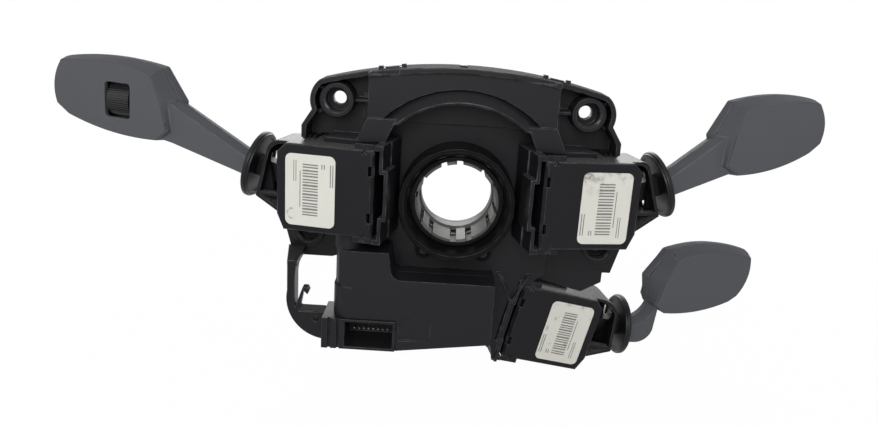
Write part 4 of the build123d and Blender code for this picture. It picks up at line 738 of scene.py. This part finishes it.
def merged_copy(node: str) -> bmesh.types.BMesh:
    """Closed copy of a CAD node's mesh, with its flat faces joined up.

    Args:
        node: the CAD node.

    Returns:
        The copy.
    """
    bm = bmesh.new()
    bm.from_mesh(frame["nodes"][node].data)
    bmesh.ops.remove_doubles(bm, verts=bm.verts, dist=MERGE_DISTANCE)
    bmesh.ops.dissolve_limit(bm, angle_limit=FLAT_ANGLE, verts=bm.verts, edges=bm.edges)
    return bm


def round_edges(bm: bmesh.types.BMesh, width: float) -> None:
    """Rounds the sharp edges of a closed shape, marks the new faces and pulls stray points back to it.

    Args:
        bm: the shape.
        width: how far the rounding reaches from each edge.
    """
    layer = bm.faces.layers.float.new(EDGE_LAYER)
    skin = BVHTree.FromBMesh(bm)
    sharp = [e for e in bm.edges if e.is_manifold and e.calc_face_angle(0.0) > EDGE_ANGLE]
    sharp = [e for e in sharp if e.calc_length() > width / 2]
    made = bmesh.ops.bevel(
        bm, geom=sharp, offset=width, offset_type="OFFSET", affect="EDGES", segments=EDGE_SEGMENTS,
        profile=0.5, clamp_overlap=False, material=-1,
    )
    for face in made["faces"]:
        face[layer] = 1.0
    for vert in made["verts"]:
        nearest, _, _, gap = skin.find_nearest(vert.co)
        if gap > width:
            vert.co = nearest


def rounded_node(node: str, material: bpy.types.Material, width: float) -> None:
    """Stands a copy of a CAD node with rounded moulded edges in the node's place.

    Args:
        node: the CAD node.
        material: its finish.
        width: reach of the rounding from each edge.
    """
    stand_in(node, merged_copy(node), material, width)


def stand_in(node: str, bm: bmesh.types.BMesh, material: bpy.types.Material, width: float) -> None:
    """Rounds a shape's edges and stands it in a CAD node's place.

    Args:
        node: the CAD node.
        bm: the shape; it is freed.
        material: its finish.
        width: reach of the rounding from each edge.
    """
    round_edges(bm, width)
    piece = add_piece(f"{node}_moulded", bm, material, body_of(node))
    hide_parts(node)


@dataclass(frozen=True)
class SoftBox:
    """Square soft light that is aimed at a target; lengths in metres, power in watts."""

    name: str
    place: Point
    target: Point
    size: float
    power: float

    def build(self) -> None:
        """Adds the light to the scene."""
        light = bpy.data.lights.new(self.name, "AREA")
        light.size = self.size
        light.energy = self.power
        lamp = bpy.data.objects.new(self.name, light)
        lamp.location = self.place
        aim = Vector(self.target) - Vector(self.place)
        lamp.rotation_euler = aim.to_track_quat("-Z", "Y").to_euler()
        bpy.context.scene.collection.objects.link(lamp)


@dataclass
class Studio:
    """Floor, lights, white surround and the photo's camera."""

    focal_px: float = 740.0
    image_width_px: float = 878.0
    sensor_mm: float = 36.0
    pitch: float = math.radians(15.5)
    roll: float = math.radians(3.5)
    eye: Vector = field(default_factory=lambda: Vector((-8.45, -384.2, 92.9)) * MM)
    near_clip: float = 10.0 * MM
    floor_gap: float = 1.0 * MM
    floor_half: float = 6.0
    floor_grey: float = 0.82
    floor_roughness: float = 0.9
    surround: float = 0.17
    floor_glow: float = 0.98
    shadow_reach: Pair = (0.18, 0.6)

    LAMPS: ClassVar[tuple[SoftBox, ...]] = (
        SoftBox("top_softbox", (0.0, 0.05, 0.95), (0.0, 0.0, 0.0), 1.0, 1.0),
        SoftBox("back_softbox", (0.0, 1.05, 0.55), (0.0, 0.0, 0.0), 0.9, 9.0),
        SoftBox("front_softbox", (-0.12, -1.16, 0.52), (0.0, 0.0, 0.0), 0.6, 13.5),
        SoftBox("left_softbox", (-1.0, -0.45, 0.35), (-0.05, 0.0, 0.0), 0.7, 2.0),
        SoftBox("right_softbox", (1.0, -0.35, 0.45), (0.05, 0.0, 0.0), 0.7, 1.5),
    )

    def build(self) -> None:
        """Builds the whole studio."""
        bpy.context.scene.view_settings.view_transform = "Standard"
        self.camera()
        self.white_surround()
        self.floor()
        for lamp in self.LAMPS:
            lamp.build()

    def camera(self) -> None:
        """Sets the camera at the photo's place, turned by pitch and roll."""
        forward = Vector((0, math.cos(self.pitch), -math.sin(self.pitch)))
        upward = Vector((0, math.sin(self.pitch), math.cos(self.pitch)))
        right = Vector((1, 0, 0))
        tilted_right = right * math.cos(self.roll) + upward * math.sin(self.roll)
        tilted_up = upward * math.cos(self.roll) - right * math.sin(self.roll)
        lens = bpy.data.cameras.new("photo_camera")
        lens.sensor_width = self.sensor_mm
        lens.lens = self.focal_px * self.sensor_mm / self.image_width_px
        lens.clip_start = self.near_clip
        camera = bpy.data.objects.new("photo_camera", lens)
        turn = Matrix((tilted_right, tilted_up, -forward)).transposed().to_4x4()
        camera.matrix_world = Matrix.Translation(self.eye) @ turn
        bpy.context.scene.collection.objects.link(camera)
        bpy.context.scene.camera = camera

    def white_surround(self) -> None:
        """Lights softly from all around, and shows white to the camera and in reflections."""
        world = bpy.data.worlds.new("surround")
        world.use_nodes = True
        bpy.context.scene.world = world
        sheet = Sheet(world.node_tree)
        background = sheet.tree.nodes["Background"]
        background.inputs["Color"].default_value = (1, 1, 1, 1)
        sheet.feed(background.inputs["Strength"], self.surround + (1 - self.surround) * sheet.seen())

    def floor(self) -> None:
        """Pale floor just below the part, white to the camera except for its shadow."""
        bm = bmesh.new()
        bmesh.ops.create_grid(bm, x_segments=1, y_segments=1, size=self.floor_half)
        bmesh.ops.translate(bm, verts=bm.verts, vec=(0, 0, CAD_BOX[0][2] - self.floor_gap))
        mesh = bpy.data.meshes.new("floor")
        bm.to_mesh(mesh)
        bm.free()
        mesh.materials.append(self.floor_paint())
        plane = bpy.data.objects.new("floor", mesh)
        bpy.context.scene.collection.objects.link(plane)

    def floor_paint(self) -> bpy.types.Material:
        """White paint that shows the shadow near the part and plain white further off.

        Returns:
            The material.
        """
        shader = Shader("floor_white")
        shader.put(base_color=(*[self.floor_grey] * 3, 1.0), roughness=self.floor_roughness)
        distance = shader.length(shader.coordinates())
        share = self.floor_glow + (1 - self.floor_glow) * distance.smooth(*self.shadow_reach)
        glow = shader.node("ShaderNodeEmission")
        surface = Value(shader, shader.surface.outputs[0])
        mixed = shader.node("ShaderNodeMixShader", {}, {0: shader.seen() * share, 1: surface, 2: glow})
        shader.feed(shader.tree.nodes["Material Output"].inputs["Surface"], mixed)
        return shader.material


@dataclass
class ColumnCentre:
    """Carrier, sensor, rotor and ribbon drum around the shaft."""

    finishes: Finishes
    edge: float = 0.35 * MM
    rotor_edge: float = 0.18 * MM
    rim_y: float = -26.5 * MM
    rim_step: float = 3.0 * MM
    rim_tab: float = -1.0 * MM
    rim_clips: Pair = (-34.5 * MM, 43.5 * MM)
    cover_rings: Point = (24.0 * MM, 46.0 * MM, 51.5 * MM)
    ring_steps: int = 96
    cover_rib_turns: tuple[float, ...] = (25.0, 55.0, 125.0, 155.0, 205.0, 235.0, 270.0, 305.0, 335.0)
    rib_width: float = 1.4 * MM
    rib_height: float = 0.9 * MM
    rib_edge: float = 0.2 * MM

    RIM_CLIP: ClassVar[Trim] = Trim(
        (
            # Thin dark base block on the rim top: painted shade for the notch between the hooks.
            Block((0.0, 0.0, 0.1), (11.0, 5.0, 0.6)),
            Block((-5.5, -0.6, 0.7), (2.2, 3.4, 1.9)),
            Block((5.5, -0.6, 0.7), (2.2, 3.4, 1.9)),
            Block((0.0, -2.0, 0.5), (6.6, 0.9, 0.9)),
        ),
        0.2 * MM,
        "carrier_plastic",
    )
    RIM_TAB: ClassVar[Trim] = Trim(
        (
            Block((0.0, 0.0, 0.3), (3.6, 4.6, 1.3)),
            Block((0.0, -2.3, -1.2), (3.6, 0.9, 3.8)),
        ),
        0.2 * MM,
        "carrier_plastic",
    )

    def build(self) -> None:
        """Dresses the fixed pieces and the rotor."""
        self.trim()
        rounded_node("carrier_frame", self.finishes["carrier_black"], self.edge)
        rounded_node("angle_sensor_case", self.finishes["sensor_dark"], self.edge)
        for node in ("rotor_sleeve", "rotor_cover", "wheel_socket"):
            rounded_node(node, self.finishes["rotor_grey"], self.rotor_edge)
        rounded_node("rotor_hub", self.finishes["hub_grey_painted_shade"], self.rotor_edge)
        rounded_node("coil_case", self.finishes["carrier_black"], self.edge)
        self.cover_ribs()
        dress("code_disc", self.finishes["code_dark"])
        dress("ribbon_coil", self.finishes["ribbon_amber"])
        dress("sensor_reader", self.finishes["sensor_dark"])
        dress("sensor_screws", self.finishes["blacked_steel"])

    def trim(self) -> None:
        """Adds the clips, whose dark base blocks are painted shade for the notches between their hooks, and
        the tab on the rim.
        """
        carrier = surface_tree("carrier_frame")
        dark = self.finishes["disc_black"]
        for name, x in zip(("left", "right"), self.rim_clips):
            self.RIM_CLIP.build(f"rim_clip_{name}", self.rim_frame(carrier, x), dark)
        self.RIM_TAB.build("rim_tab", self.rim_frame(carrier, self.rim_tab), dark)

    def cover_ribs(self) -> None:
        """Adds the rings and spokes that stiffen the driver side of the rotor's cover."""
        inner, outer = self.cover_rings[:2]
        reach, turn = (inner + outer) / 2, math.radians(self.cover_rib_turns[0])
        probe = Vector((reach * math.cos(turn), FAR_OUT, reach * math.sin(turn)))
        back = surface_tree("rotor_cover").ray_cast(probe, Vector((0, -1, 0)))[0].y
        levels = (back - self.rib_height, back + self.rib_height)
        bm = bmesh.new()
        for radius in self.cover_rings:
            sides = (radius - self.rib_width / 2, radius + self.rib_width / 2)
            corners = [(0, 0), (1, 0), (1, 1), (0, 1)]
            loop = [bm.verts.new((sides[side], levels[level], 0)) for side, level in corners]
            edges = [bm.edges.new((loop[k - 1], loop[k])) for k in range(len(loop))]
            bmesh.ops.spin(
                bm, geom=loop + edges, cent=(0, 0, 0), axis=(0, 1, 0), angle=2 * math.pi,
                steps=self.ring_steps, use_merge=True,
            )
        for degrees in self.cover_rib_turns:
            size = (outer - inner, 2 * self.rib_height, self.rib_width)
            spoke = Matrix.Translation((reach, back, 0)) @ Matrix.Diagonal((*size, 1.0))
            place = Matrix.Rotation(-math.radians(degrees), 4, "Y") @ spoke
            bmesh.ops.create_cube(bm, size=1.0, matrix=place)
        bmesh.ops.recalc_face_normals(bm, faces=bm.faces)
        round_edges(bm, self.rib_edge)
        body, slot = body_of("rotor_cover"), slot_of("rotor_cover")
        add_piece("rotor_cover_ribs", bm, self.finishes["rotor_grey"], body)

    def rim_frame(self, carrier: BVHTree, x: float) -> Matrix:
        """Frame on top of the rim at a place across it, with z off the surface.

        Args:
            carrier: the carrier's faces.
            x: place across the rim.

        Returns:
            The frame.
        """
        places = [Vector((x + step, self.rim_y, FAR_OUT)) for step in (-self.rim_step, 0, self.rim_step)]
        left, middle, right = (carrier.ray_cast(place, Vector((0, 0, -1)))[0] for place in places)
        along = (right - left).normalized()
        inward = Vector((0, 1, 0))
        turn = Matrix((along, inward, along.cross(inward))).transposed().to_4x4()
        return Matrix.Translation(middle) @ turn


@dataclass
class ElectronicsBox:
    """Box, connector and cable guide at the lower left."""

    finishes: Finishes
    edge: float = 0.4 * MM

    def build(self) -> None:
        """Dresses the box's pieces."""
        for node in ("electronics_case", "electronics_cover", "connector_shell"):
            rounded_node(node, self.finishes["box_black"], self.edge)
        rounded_node("cable_guide", self.finishes["carrier_black"], self.edge)
        dress("main_board", self.finishes["board_green"])
        dress("connector_pins", self.finishes["tinned_brass"])


@dataclass
class SwitchModule:
    """One switch module with its stalk."""

    name: str
    side: Side
    finishes: Finishes
    stock: LabelStock
    edge: float = 0.3 * MM
    cover_edge: float = 0.14 * MM
    shell_edge: float = 0.45 * MM
    case_top: float = 21.7 * MM
    crown: float = 0.9 * MM
    crown_cuts: int = 12

    TOP_CLIP: ClassVar[Trim] = Trim(
        (
            Block((0.0, 5.6, 0.2), (6.6, 10.0, 0.7)),
            Block((-2.5, 6.0, 0.8), (1.2, 8.6, 1.4)),
            Block((0.0, 6.0, 0.8), (1.2, 8.6, 1.4)),
            Block((2.5, 6.0, 0.8), (1.2, 8.6, 1.4)),
            Block((0.0, 9.6, 1.0), (6.6, 1.6, 1.8)),
        ),
        0.18 * MM,
        "module_plastic",
    )

    def build(self) -> None:
        """Dresses the module and its stalk."""
        self.top_clip()
        rounded_node(f"{self.name}_case", self.finishes["module_black"], self.edge)
        rounded_node(f"{self.name}_cover", self.finishes["module_black"], self.cover_edge)
        rounded_node(f"{self.name}_guard_disc", self.finishes["disc_black"], self.edge)
        self.crowned_shell()
        for piece in ("front_shell", "end_button"):
            rounded_node(f"{self.name}_{piece}", self.finishes["stalk_charcoal"], self.shell_edge)
        for piece in ("gimbal", "lever_core"):
            dress(f"{self.name}_{piece}", self.finishes["core_dark"])
        for piece in ("detent_plunger", "detent_spring"):
            dress(f"{self.name}_{piece}", self.finishes["zinc_steel"])
        dress(f"{self.name}_contact_board", self.finishes["board_green"])
        self.label()

    def joint(self, motion: str) -> dict:
        """One of the module's joints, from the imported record."""
        return next(j for j in frame["joints"] if j["name"] == f"{self.name}_{motion}")

    def place(self) -> Matrix:
        """Frame of the module at its pivot: x to the viewer's right, y into the module, z up the module.

        Returns:
            The frame.
        """
        lift = self.joint("lift")
        axis = Vector(lift["axis"])
        into = axis if axis.y > 0 else -axis
        lean = math.atan(into.z / into.x)
        upward = Vector((-math.sin(lean), 0.0, math.cos(lean)))
        right = into.cross(upward)
        turn = Matrix((right, into, upward)).transposed().to_4x4()
        return Matrix.Translation(lift["pos_m"]) @ turn

    def crowned_shell(self) -> None:
        """Stands the column-side shell in its node's place, with a crown across the head's flat face."""
        node = f"{self.name}_rear_shell"
        bm = merged_copy(node)
        along = Vector(self.joint("button_press")["axis"]).normalized()
        outward = -self.place().col[1].to_3d()
        across = outward.cross(along).normalized()
        depth = max(vert.co.dot(outward) for vert in bm.verts)
        face = [vert.co.dot(across) for vert in bm.verts if vert.co.dot(outward) > depth - FACE_TOLERANCE]
        middle, half = (max(face) + min(face)) / 2, (max(face) - min(face)) / 2
        for step in range(1, self.crown_cuts):
            level = middle + half * (2 * step / self.crown_cuts - 1)
            geometry = [*bm.verts, *bm.edges, *bm.faces]
            bmesh.ops.bisect_plane(
                bm, geom=geometry, dist=MERGE_DISTANCE, plane_co=across * level, plane_no=across
            )
        for vert in bm.verts:
            if vert.co.dot(outward) > depth - FACE_TOLERANCE:
                share = (vert.co.dot(across) - middle) / half
                vert.co += outward * self.crown * (1 - share * share)
        stand_in(node, bm, self.finishes["stalk_charcoal"], self.shell_edge)

    def top_clip(self) -> None:
        """Adds the dark clip that stands near the outer end of the case's top."""
        place = self.place() @ Matrix.Translation((0, 0, self.case_top))
        self.TOP_CLIP.build(f"{self.name}_top_clip", place, self.finishes["disc_black"])

    def label(self) -> None:
        """Prints the module's label."""
        place = self.place()
        low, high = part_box(f"{self.name}_label")
        place.translation = (low + high) / 2
        if self.side is Side.LEFT:
            place = place @ Matrix.Rotation(math.pi, 4, "Y")
        stock = replace(self.stock, name=f"{self.name}_label_print", place=place)
        dress(f"{self.name}_label", stock.material())


@dataclass
class WiperModule(SwitchModule):
    """The wiper module, whose stalk has a thumbwheel."""

    def build(self) -> None:
        """Dresses the module, its stalk and the thumbwheel."""
        super().build()
        dress("wiper_thumbwheel", self.finishes["wheel_black"])
        dress("wiper_wheel_axle", self.finishes["zinc_steel"])


def main() -> None:
    """Builds the studio and every sub-assembly."""
    logging.basicConfig(level=logging.INFO)
    Studio().build()
    finishes = Finishes()
    assemblies = (
        ColumnCentre(finishes),
        ElectronicsBox(finishes),
        WiperModule("wiper", Side.LEFT, finishes, LabelStock(corner_smudge=0.9)),
        SwitchModule("indicator", Side.RIGHT, finishes, LabelStock(top_dirt=0.62)),
        SwitchModule("cruise", Side.RIGHT, finishes, LabelStock(scuffs=0.5, top_dirt=0.15)),
    )
    for assembly in assemblies:
        assembly.build()


if __name__ == "__main__":
    main()
